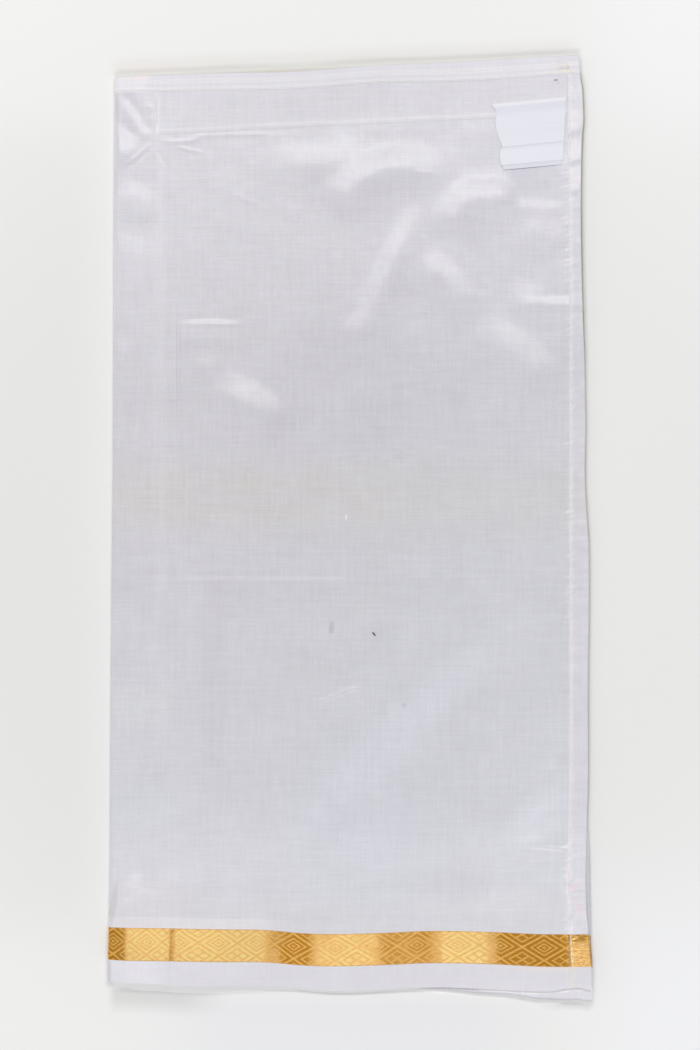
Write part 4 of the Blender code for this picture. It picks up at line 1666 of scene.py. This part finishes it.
def side_strips(hem, gold, band):
    """The side hem: its stretch along the cloth, its stretch along the border, and its foot."""
    across, down = SIDE_CELL
    side = even(HEM_COLUMN, RIGHT_COLUMN, COLUMN_SPANS, across)
    cloth_rows = panel_rows(down)
    cloth_rows = cloth_rows[cloth_rows >= HEM_ROW]
    zari_rows = even(BORDER_ROW, BAND_ROW, ROW_SPANS, down)
    foot_rows = even(BAND_ROW, LOWER_ROW, ROW_SPANS, down)
    form = {"ridge": hem_waves, "uv": side_hem_uv}
    return (
        strip("hem_at_side", hem, side, cloth_rows, HEM_RISE, ("left", "waist"), ("right",), **form),
        strip("hem_at_side_brocade", gold, side, zari_rows, HEM_RISE, ("left",), ("right",)),
        strip("hem_at_side_foot", band, side, foot_rows, HEM_RISE, ("left", "lower"), ("right",)),
    )


# ---------------------------------------------------------------------------------------------
# The hidden plies: one long sheet that turns at the right and again at the left. Ply 4 is the
# lowest, 3 lies on it, and 2 lies right under the top ply and ends in a hem turned under.

PLY_LEVELS = (0.2, 1.25, 2.45)
PLY_THICKNESS = 0.36
PLY_HEM = 9.0
PLY_HEM_DROP = 0.5

# How far the hidden plies stand back: at the waist, where each one stands back further than the one
# below it, at the lower edge and on the right.
WAIST_INSET, WAIST_INSET_EACH = 2.0, 0.3
LOWER_INSET = 1.6
RIGHT_INSET = 1.2

# How far in the second ply's own turn lies, from half way between the left fold's edge and its axis.
LEFT_INSET = 1.4

# How far the second ply's border follows its lower edge where that stands out.
BORDER_FOLLOWS = 0.12

# Small uneven waves along a ply's edge, which start elsewhere on each ply.
WOBBLES = (
    # mm, radians a mm, radians a ply
    (0.6, 0.061, 2.1),
    (0.4, 0.137, 4.7),
)

# Cells of a ply near its edge and between its edges, how near that is as a share of its width, and
# cells of a turn and of the hem.
CELLS_AT_EDGE, CELLS_BETWEEN, EDGE_SHARE = 10, 14, 0.05
CELLS_OF_TURN, CELLS_OF_HEM = 8, 4

# Cells down the plies' cloth, border and band.
CELLS_DOWN = (169, 8, 11)


def ply_edge_shares():
    """Shares of the way across a ply, close together near both edges."""
    first = np.linspace(0.0, EDGE_SHARE, CELLS_AT_EDGE + 1)
    middle = np.linspace(EDGE_SHARE, 1.0 - EDGE_SHARE, CELLS_BETWEEN + 1)[1:-1]
    return np.concatenate([first, middle, 1.0 - first[::-1]])


def wobble(at, ply):
    """Small uneven waves along a ply's edge."""
    return waves(at, [(height, rate, ply * start) for height, rate, start in WOBBLES])


def out_right(ply, y):
    """How far a hidden ply's right edge stands out past the top ply's."""
    return np.where(ply <= 2.0, read(SECOND_PLY_RIGHT, y), -RIGHT_INSET)


def out_lower(ply, x):
    """How far the second ply's lower edge stands out past the other hidden plies'."""
    return np.interp(ply, [2, 2.02, 4], [1, 0, 0]) * (read(SECOND_PLY_LOWER, x) + LOWER_INSET)


def ply_y(row, ply, x):
    """Where a row of the hidden plies lies, from the waist edge down to the lower edge."""
    waist = read(WAIST_EDGE, x) - WAIST_INSET + 0.5 * wobble(x, ply) - (4 - ply) * WAIST_INSET_EACH
    lower = read(LOWER_EDGE, x) + LOWER_INSET - out_lower(ply, x) + 0.4 * wobble(x, ply + 9)
    border = read(BORDER_SEAM, x) - out_lower(ply, x) * BORDER_FOLLOWS
    band = border - BORDER_DEPTH
    return between([waist, border, band, np.minimum(lower, band - 1)], row)


def ply_run(stretch, at, ply, y):
    """(x, height) of the long sheet, by its stretch and the share of the way along it.

    The stretches are the lowest ply, its turn on the right, the middle ply, its turn on the left, the
    second ply, the turn of its hem and the hem."""
    radius = fold_radius(y)
    left_outer = read(LEFT_EDGE, y) + radius + FOLD_RUN
    left_inner = read(LEFT_EDGE, y) + 0.5 * radius + LEFT_INSET
    right = read(RIGHT_EDGE, y) + out_right(ply, y) + 0.3 * wobble(y, ply + 5)
    low, mid, top = PLY_LEVELS
    right_radius, left_radius, hem_radius = (mid - low) / 2, (top - mid) / 2, PLY_HEM_DROP / 2
    right_turn, left_turn, hem_turn = right - right_radius, left_inner + left_radius, right - hem_radius
    sine, cosine = np.sin(at * math.pi), np.cos(at * math.pi)
    level = np.zeros_like(y)
    x_stretches = [
        left_outer + (right_turn - left_outer) * at,
        right_turn + right_radius * sine,
        right_turn + (left_turn - right_turn) * at,
        left_turn - left_radius * sine,
        left_turn + (hem_turn - left_turn) * at,
        hem_turn + hem_radius * sine,
        hem_turn - PLY_HEM * at,
    ]
    z_stretches = [
        level + low,
        mid - right_radius * (1 + cosine),
        level + mid,
        top - left_radius * (1 + cosine),
        level + top,
        top - hem_radius * (1 - cosine),
        level + top - PLY_HEM_DROP,
    ]
    return np.choose(stretch, x_stretches), np.choose(stretch, z_stretches)


def folded_plies(cloth, gold, band):
    """The plies under the top one as one folded sheet, with its border and band at the lower edge."""
    across = ply_edge_shares()
    turn = np.linspace(0.0, 1.0, CELLS_OF_TURN + 1)[1:-1]
    hem = np.linspace(0.0, 1.0, CELLS_OF_HEM + 1)
    run = np.concatenate([across, 1 + turn, 2 + across, 3 + turn, 4 + across, 5 + turn, 6 + hem])
    parts = [np.linspace(k, k + 1, cells + 1)[:-1] for k, cells in enumerate(CELLS_DOWN)]
    rows = np.concatenate(parts + [[3.0]])
    s, row = np.meshgrid(run, rows)
    stretch = np.floor(np.minimum(s, 6.0)).astype(int)
    at = s - stretch
    ply = np.select([stretch == k for k in range(4)], [4.0, 4 - at, 3.0, 3 - at], 2.0)
    x = np.zeros_like(s)
    for _ in range(SEAM_CROSSING_ROUNDS):
        y = ply_y(row, ply, x)
        x, z = ply_run(stretch, at, ply, y)
    loose = np.where(ply < 3.9, 0.10, 0.0) * wobble(y * 0.8 + x * 0.5, ply)
    z = z + (5.0 - ply) / 4.0 * lift(x, y) + loose
    points = np.stack([x, y, z], axis=-1)
    middle_row = np.repeat((rows[:-1] + rows[1:]) / 2, len(run) - 1)
    finish = np.select([middle_row < 1, middle_row < 2], [0, 1], 2)
    quads = grid_quads(len(rows), len(run))
    made = add_mesh("folded_under_plies", points.reshape(-1, 3), quads, [cloth, gold, band], finish)
    thick = made.modifiers.new("thickness", "SOLIDIFY")
    thick.thickness = PLY_THICKNESS * MM
    thick.offset = 0.0
    return made


# ---------------------------------------------------------------------------------------------
# The care label: a ribbon folded double at its seam.

LABEL_TOP_LEFT, LABEL_TOP_RIGHT = (75.7, 225.0), (114.9, 228.8)
LABEL_LOW_LEFT, LABEL_LOW_RIGHT = (80.6, 191.8), (113.3, 194.8)

# How far the label's left edge lies to the right of a straight line between its corners.
LABEL_LEFT_BOW = (
    # share of the way down, mm
    (0.0, 0.0),
    (0.055, 0.0),
    (0.08, 0.7),
    (0.30, 0.2),
    (0.45, 0.2),
    (0.60, 1.2),
    (0.70, 1.9),
    (0.76, 0.7),
    (0.90, -0.3),
    (1.0, 0.0),
)

# How high the label stands over the cloth: at its seam, on its fold line and at its free end.
LABEL_SEAM_HEIGHT = 0.20
LABEL_FOLD_HEIGHT = 0.22
LABEL_END_HEIGHT = 0.55

# Shares of the way down the label: where its sewn bar starts and ends and over how much it falls,
# its fold line and how wide that is, and where the free end starts to rise.
LABEL_BAR_START, LABEL_BAR_END, LABEL_BAR_FALL = 0.03, 0.075, 0.02
LABEL_CREASE, LABEL_CREASE_WIDTH = 0.72, 0.02
LABEL_RISE_START = 0.70

# The free end is wavy: its height there is a share plus a wave of this many radians across.
LABEL_WAVE_BASE, LABEL_WAVE, LABEL_WAVE_RATE = 0.7, 0.3, 5.0

# The label's gap to the cloth where it is sewn, how much more it is below, and from which share on.
LABEL_GAP, LABEL_GAP_MORE, LABEL_GAP_FROM = 0.05, 0.35, 0.035

# How far below the casing's seam the label starts to come down off the casing, and over how far.
LABEL_OFF_CASING, LABEL_OFF_CASING_OVER = 1.5, 10.0

# How far the ribbon's under half lies below its upper one.
LABEL_UNDER_DROP = 0.16


def label_surface(across, down):
    """The label's face, by shares of the way across it and down it."""
    left = np.array(LABEL_TOP_LEFT) + np.subtract(LABEL_LOW_LEFT, LABEL_TOP_LEFT) * down[..., None]
    right = np.array(LABEL_TOP_RIGHT) + np.subtract(LABEL_LOW_RIGHT, LABEL_TOP_RIGHT) * down[..., None]
    flat = left + (right - left) * across[..., None]
    x, y = flat[..., 0], flat[..., 1]
    x = x + read(LABEL_LEFT_BOW, down) * (1.0 - across)
    on_casing = 1.0 - smooth((casing_seam(x) - y - LABEL_OFF_CASING) / LABEL_OFF_CASING_OVER)
    bar = smooth((LABEL_BAR_END - down) / LABEL_BAR_FALL) * smooth(down / LABEL_BAR_START)
    crease = np.exp(-(((down - LABEL_CREASE) / LABEL_CREASE_WIDTH) ** 2))
    wave = LABEL_WAVE_BASE + LABEL_WAVE * np.sin(across * LABEL_WAVE_RATE)
    free_end = smooth((down - LABEL_RISE_START) / (1.0 - LABEL_RISE_START)) * wave
    gap = LABEL_GAP + LABEL_GAP_MORE * smooth(down / LABEL_GAP_FROM)
    z = panel_top(x, y) + gap + STRIP_RISE * on_casing
    z = z + LABEL_SEAM_HEIGHT * bar + LABEL_FOLD_HEIGHT * crease + LABEL_END_HEIGHT * free_end
    return np.stack([x, y, z], axis=-1)


def ribbon_sheet(name, across, down, drop, finish):
    """A sheet of ribbon, by the shares across and down that it covers."""
    across, down = np.meshgrid(across, down)
    points = label_surface(across, down) - np.array([0.0, 0.0, drop])
    return add_grid(name, points, finish, np.stack([across, down], axis=-1))


def care_label(finish):
    """The label's upper half, and its under half, which shows below the upper one's lower end."""
    across, down = np.linspace(0, 1, 49), np.linspace(0, 1, 57)
    upper = ribbon_sheet("care_label_ribbon", across, down, 0.0, finish)
    across, down = np.linspace(0.02, 0.98, 49), np.linspace(0.30, 1.07, 41)
    return upper, ribbon_sheet("care_label_ribbon_under", across, down, LABEL_UNDER_DROP, finish)


# ---------------------------------------------------------------------------------------------
# Stitches.

STITCH_SIDES = 6
STITCH_RINGS = 7

# A stitch's height as a share of its width, how far it arches up, and the share of its length
# between the two points that give its direction.
STITCH_FLATNESS = 0.22
STITCH_ARCH = 0.04
STITCH_SPAN = 0.8

# How unevenly the stitches lie along the seam, as a share of their pitch.
STITCH_UNEVEN = 0.06

# Two paths of stitches that no seam gives: across the waist's corner, and down the casing's end.
BAR_TACK = (
    # x, y
    (107.0, 246.2),
    (113.6, 243.2),
    (107.6, 242.6),
    (115.2, 246.6),
    (108.4, 248.2),
    (118.0, 242.0),
)
CASING_END = (
    # x, y
    (-101.6, 231.5),
    (-101.8, 221.0),
    (-101.8, 211.5),
)


def tube_quads(rings, sides):
    """Corner numbers of the faces of a round tube."""
    quads = []
    for first in range(0, (rings - 1) * sides, sides):
        for k in range(sides):
            after = (k + 1) % sides
            quads.append((first + k, first + after, first + sides + after, first + sides + k))
    return np.array(quads)


def stitches(name, middles, directions, length, radius, finish):
    """Short arched threads, each with its middle on the cloth, as one mesh."""
    t = np.linspace(-1.0, 1.0, STITCH_RINGS)
    directions = unit(directions)
    up = np.array([0.0, 0.0, 1.0])
    side = unit(np.cross(directions, up))
    spine = middles[:, None] + directions[:, None] * (t[:, None] * length[:, None, None] / 2)
    spine = spine + up * (STITCH_ARCH * (1 - t**2))[None, :, None]
    thin = radius * np.sqrt(np.clip(1.0 - (t * 0.97) ** 8, 0.02, 1.0))
    angle = np.linspace(0, 2 * math.pi, STITCH_SIDES, endpoint=False)
    ring = side[:, None, None] * np.cos(angle)[None, None, :, None]
    ring = ring + up * STITCH_FLATNESS * np.sin(angle)[None, None, :, None]
    points = spine[:, :, None] + ring * thin[None, :, None, None]
    offsets = np.arange(len(middles)) * STITCH_RINGS * STITCH_SIDES
    faces = offsets[:, None, None] + tube_quads(STITCH_RINGS, STITCH_SIDES)[None]
    return add_mesh(name, points.reshape(-1, 3), faces.reshape(-1, 4), [finish])


def sewn_line(name, path, pitch, cover, radius, height, sideways, finish, seed):
    """A row of stitches along a path of (x, y), on top of a strip of this height.

    cover is the share of the pitch that a stitch takes, and sideways is how far its ends stray."""
    random = np.random.default_rng(seed)
    points = rounded(path, 24)
    lengths = np.linalg.norm(np.diff(points, axis=0), axis=1)
    along = np.concatenate([[0.0], np.cumsum(lengths)])
    count = int(along[-1] / pitch)
    stray = random.uniform(-STITCH_UNEVEN, STITCH_UNEVEN, count)
    at = (np.arange(count) + 0.5) * pitch + stray * pitch
    ends = []
    for shift in (-STITCH_SPAN / 2, STITCH_SPAN / 2):
        reach = at + shift * pitch * cover
        flat = np.stack([np.interp(reach, along, points[:, k]) for k in (0, 1)], axis=-1)
        flat = flat + random.uniform(-sideways, sideways, (count, 2))
        ends.append(np.column_stack([flat, cloth_top(flat[:, 0], flat[:, 1]) + height]))
    middles, directions = (ends[0] + ends[1]) / 2, ends[1] - ends[0]
    length = np.linalg.norm(directions, axis=1) / STITCH_SPAN
    return stitches(name, middles, directions, length, radius, finish)


def down_side_hem(first, last, offset, count=14):
    """A path down the side hem, at an offset to the right of its seam."""
    heights = np.linspace(first, last, count)
    return list(zip(read(SIDE_HEM_SEAM, heights) + offset, heights))


def along_waist(seam, first, last, offset, count):
    """A path across the cloth, at an offset above a seam, which gives its y for an x."""
    return [(x, seam(x) + offset) for x in np.linspace(first, last, count)]


def all_stitches(cream, pale):
    """Every row of stitches. A row's seed is its place in the table, so that each differs."""
    side = down_side_hem(239.0, -243.0, 1.2, count=40)
    corner = down_side_hem(237.0, 221.0, 4.3)
    upper = along_waist(hem_seam, -104.0, 116.0, 5.5, 24)
    lower = along_waist(hem_seam, -123.0, 121.0, 1.2, 24)
    casing = along_waist(casing_seam, -101.0, 77.0, 1.8, 14)
    ridge = STRIP_RISE + CASING_RIDGE
    table = (
        # name, path, pitch, cover, radius, height, sideways, finish
        ("stitches_side_hem", side, 3.07, 0.9, 0.28, HEM_RISE, 0.06, cream),
        ("stitches_waist_upper", upper, 3.0, 0.95, 0.30, HEM_RISE, 0.06, cream),
        ("stitches_waist_lower", lower, 3.0, 0.95, 0.30, HEM_RISE, 0.06, cream),
        ("stitches_casing", casing, 3.0, 0.95, 0.24, ridge, 0.06, pale),
        ("stitches_hem_corner", corner, 2.6, 0.8, 0.26, HEM_RISE, 0.06, cream),
        ("stitches_casing_end", CASING_END, 3.0, 0.9, 0.40, STRIP_RISE, 0.06, pale),
        ("stitches_bar_tack", BAR_TACK, 2.4, 0.95, 0.30, HEM_RISE, 0.5, cream),
    )
    return [sewn_line(*row, seed) for seed, row in enumerate(table, start=1)]


# ---------------------------------------------------------------------------------------------
# Stage, light and camera.

# Height of the camera over the cloth in metres, the point below it, and the length that it sees.
CAMERA_HEIGHT = 1.3
VIEW_CENTRE = (0.4, 1.4)
VIEW_LENGTH = 556.5
SENSOR = 36.0

FLOOR_HALF = 2000.0
FLOOR_Z = -0.1
SKY_STRENGTH = 0.22

SOFTBOXES = (
    # name, place in metres, size in metres, power in watts
    ("softbox_waist_side", (0.0, 0.88, 1.70), (1.8, 0.45), 20.0),
    ("softbox_lower_side", (0.0, -1.20, 1.50), (1.4, 0.6), 12.0),
    ("softbox_left", (-1.60, 0.10, 1.00), (0.8, 1.2), 4.0),
    ("softbox_right", (1.60, 0.0, 1.00), (0.8, 1.2), 2.0),
)


def add_floor():
    signs = ((-1, -1), (1, -1), (1, 1), (-1, 1))
    corners = [(x * FLOOR_HALF, y * FLOOR_HALF, FLOOR_Z) for x, y in signs]
    floor = add_mesh("floor", corners, [(0, 1, 2, 3)], [floor_paint("floor_paint")])


def add_softbox(name, location, size, power):
    """A soft light that looks at the middle of the object."""
    light = bpy.data.lights.new(name, "AREA")
    light.shape = "RECTANGLE"
    light.size, light.size_y = size
    light.energy = power
    made = bpy.data.objects.new(name, light)
    made.location = location
    made.rotation_euler = made.location.to_track_quat("Z", "Y").to_euler()
    bpy.context.scene.collection.objects.link(made)


def add_lights():
    world = bpy.data.worlds.new("studio")
    world.use_nodes = True
    sky = world.node_tree.nodes["Background"]
    put(sky.inputs["Color"], (1.0, 1.0, 1.0))
    put(sky.inputs["Strength"], SKY_STRENGTH)
    bpy.context.scene.world = world
    for row in SOFTBOXES:
        add_softbox(*row)


def add_camera():
    data = bpy.data.cameras.new("camera")
    data.sensor_width = SENSOR
    data.lens = SENSOR * CAMERA_HEIGHT / (VIEW_LENGTH * MM)
    camera = bpy.data.objects.new("camera", data)
    camera.location = (VIEW_CENTRE[0] * MM, VIEW_CENTRE[1] * MM, CAMERA_HEIGHT + PANEL_TOP * MM)
    bpy.context.scene.collection.objects.link(camera)
    bpy.context.scene.camera = camera


# ---------------------------------------------------------------------------------------------
# The scene.


def declare(piece, node):
    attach(piece, "root")
    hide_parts(node)


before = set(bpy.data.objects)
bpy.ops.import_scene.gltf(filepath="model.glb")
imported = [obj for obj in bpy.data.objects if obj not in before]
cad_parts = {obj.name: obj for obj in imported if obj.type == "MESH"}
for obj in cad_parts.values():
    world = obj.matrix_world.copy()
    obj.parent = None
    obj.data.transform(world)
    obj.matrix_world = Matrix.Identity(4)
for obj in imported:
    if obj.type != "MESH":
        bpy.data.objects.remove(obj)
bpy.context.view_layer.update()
bpy.context.scene.view_settings.view_transform = "Standard"

add_camera()
add_lights()
add_floor()

SILKY = (LAVENDER, BLUISH)
FIRM = (DENSE, DENSE)
cloth = woven("silky_cloth", SILKY, 0.31, marks=CLOTH_MARKS, seam_strip=5.6)
casing_finish = woven(
    "casing_cloth", SILKY, 0.40, marks=CLOTH_MARKS, bands=CASING_BANDS, rows=(1.8,), row_strength=0.38
)
plies = woven("silky_cloth_under", SILKY, 0.5, marks=UNDER_MARKS)
dense_under = woven("dense_cloth_under", FIRM, 0.5, marks=UNDER_BAND_MARKS)
dense = woven("dense_cloth", FIRM, 0.42, 0.6, FOOT_MARKS, FOOT_BANDS)
hem_finish = woven("hem_cloth", FIRM, 0.42, 0.7, HEM_MARKS, HEM_BANDS, rows=(1.2, 5.5))
side_finish = woven("side_hem_cloth", FIRM, 0.42, 0.7, HEM_MARKS, rows=(1.2,), smudges=0.13)
gold = zari("gold_brocade")
gold_reverse = zari("gold_brocade_reverse", reverse=True)
label_finish = ribbon("label_ribbon")
cream = thread("cream_thread", CREAM)
pale = thread("pale_thread", PALE_THREAD)

panel, panel_side = front_panel(cloth)
border = zari_border(gold)
band = bottom_band(dense)
top_hem, casing = waist_strips(hem_finish, casing_finish)
side_hem, side_hem_zari, side_hem_foot = side_strips(side_finish, gold_reverse, dense)
under = folded_plies(plies, gold_reverse, dense_under)
tag, tag_under = care_label(label_finish)

declare(under, "folded_plies")
declare(panel, "front_panel")
declare(panel_side, "front_panel")
declare(border, "zari_border")
declare(band, "bottom_band")
declare(top_hem, "top_hem")
declare(casing, "waist_casing")
declare(side_hem, "side_hem")
declare(side_hem_zari, "side_hem_zari")
declare(side_hem_foot, "side_hem_foot")
declare(tag, "care_label")
declare(tag_under, "care_label")

for row in all_stitches(cream, pale):
    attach(row, "root")
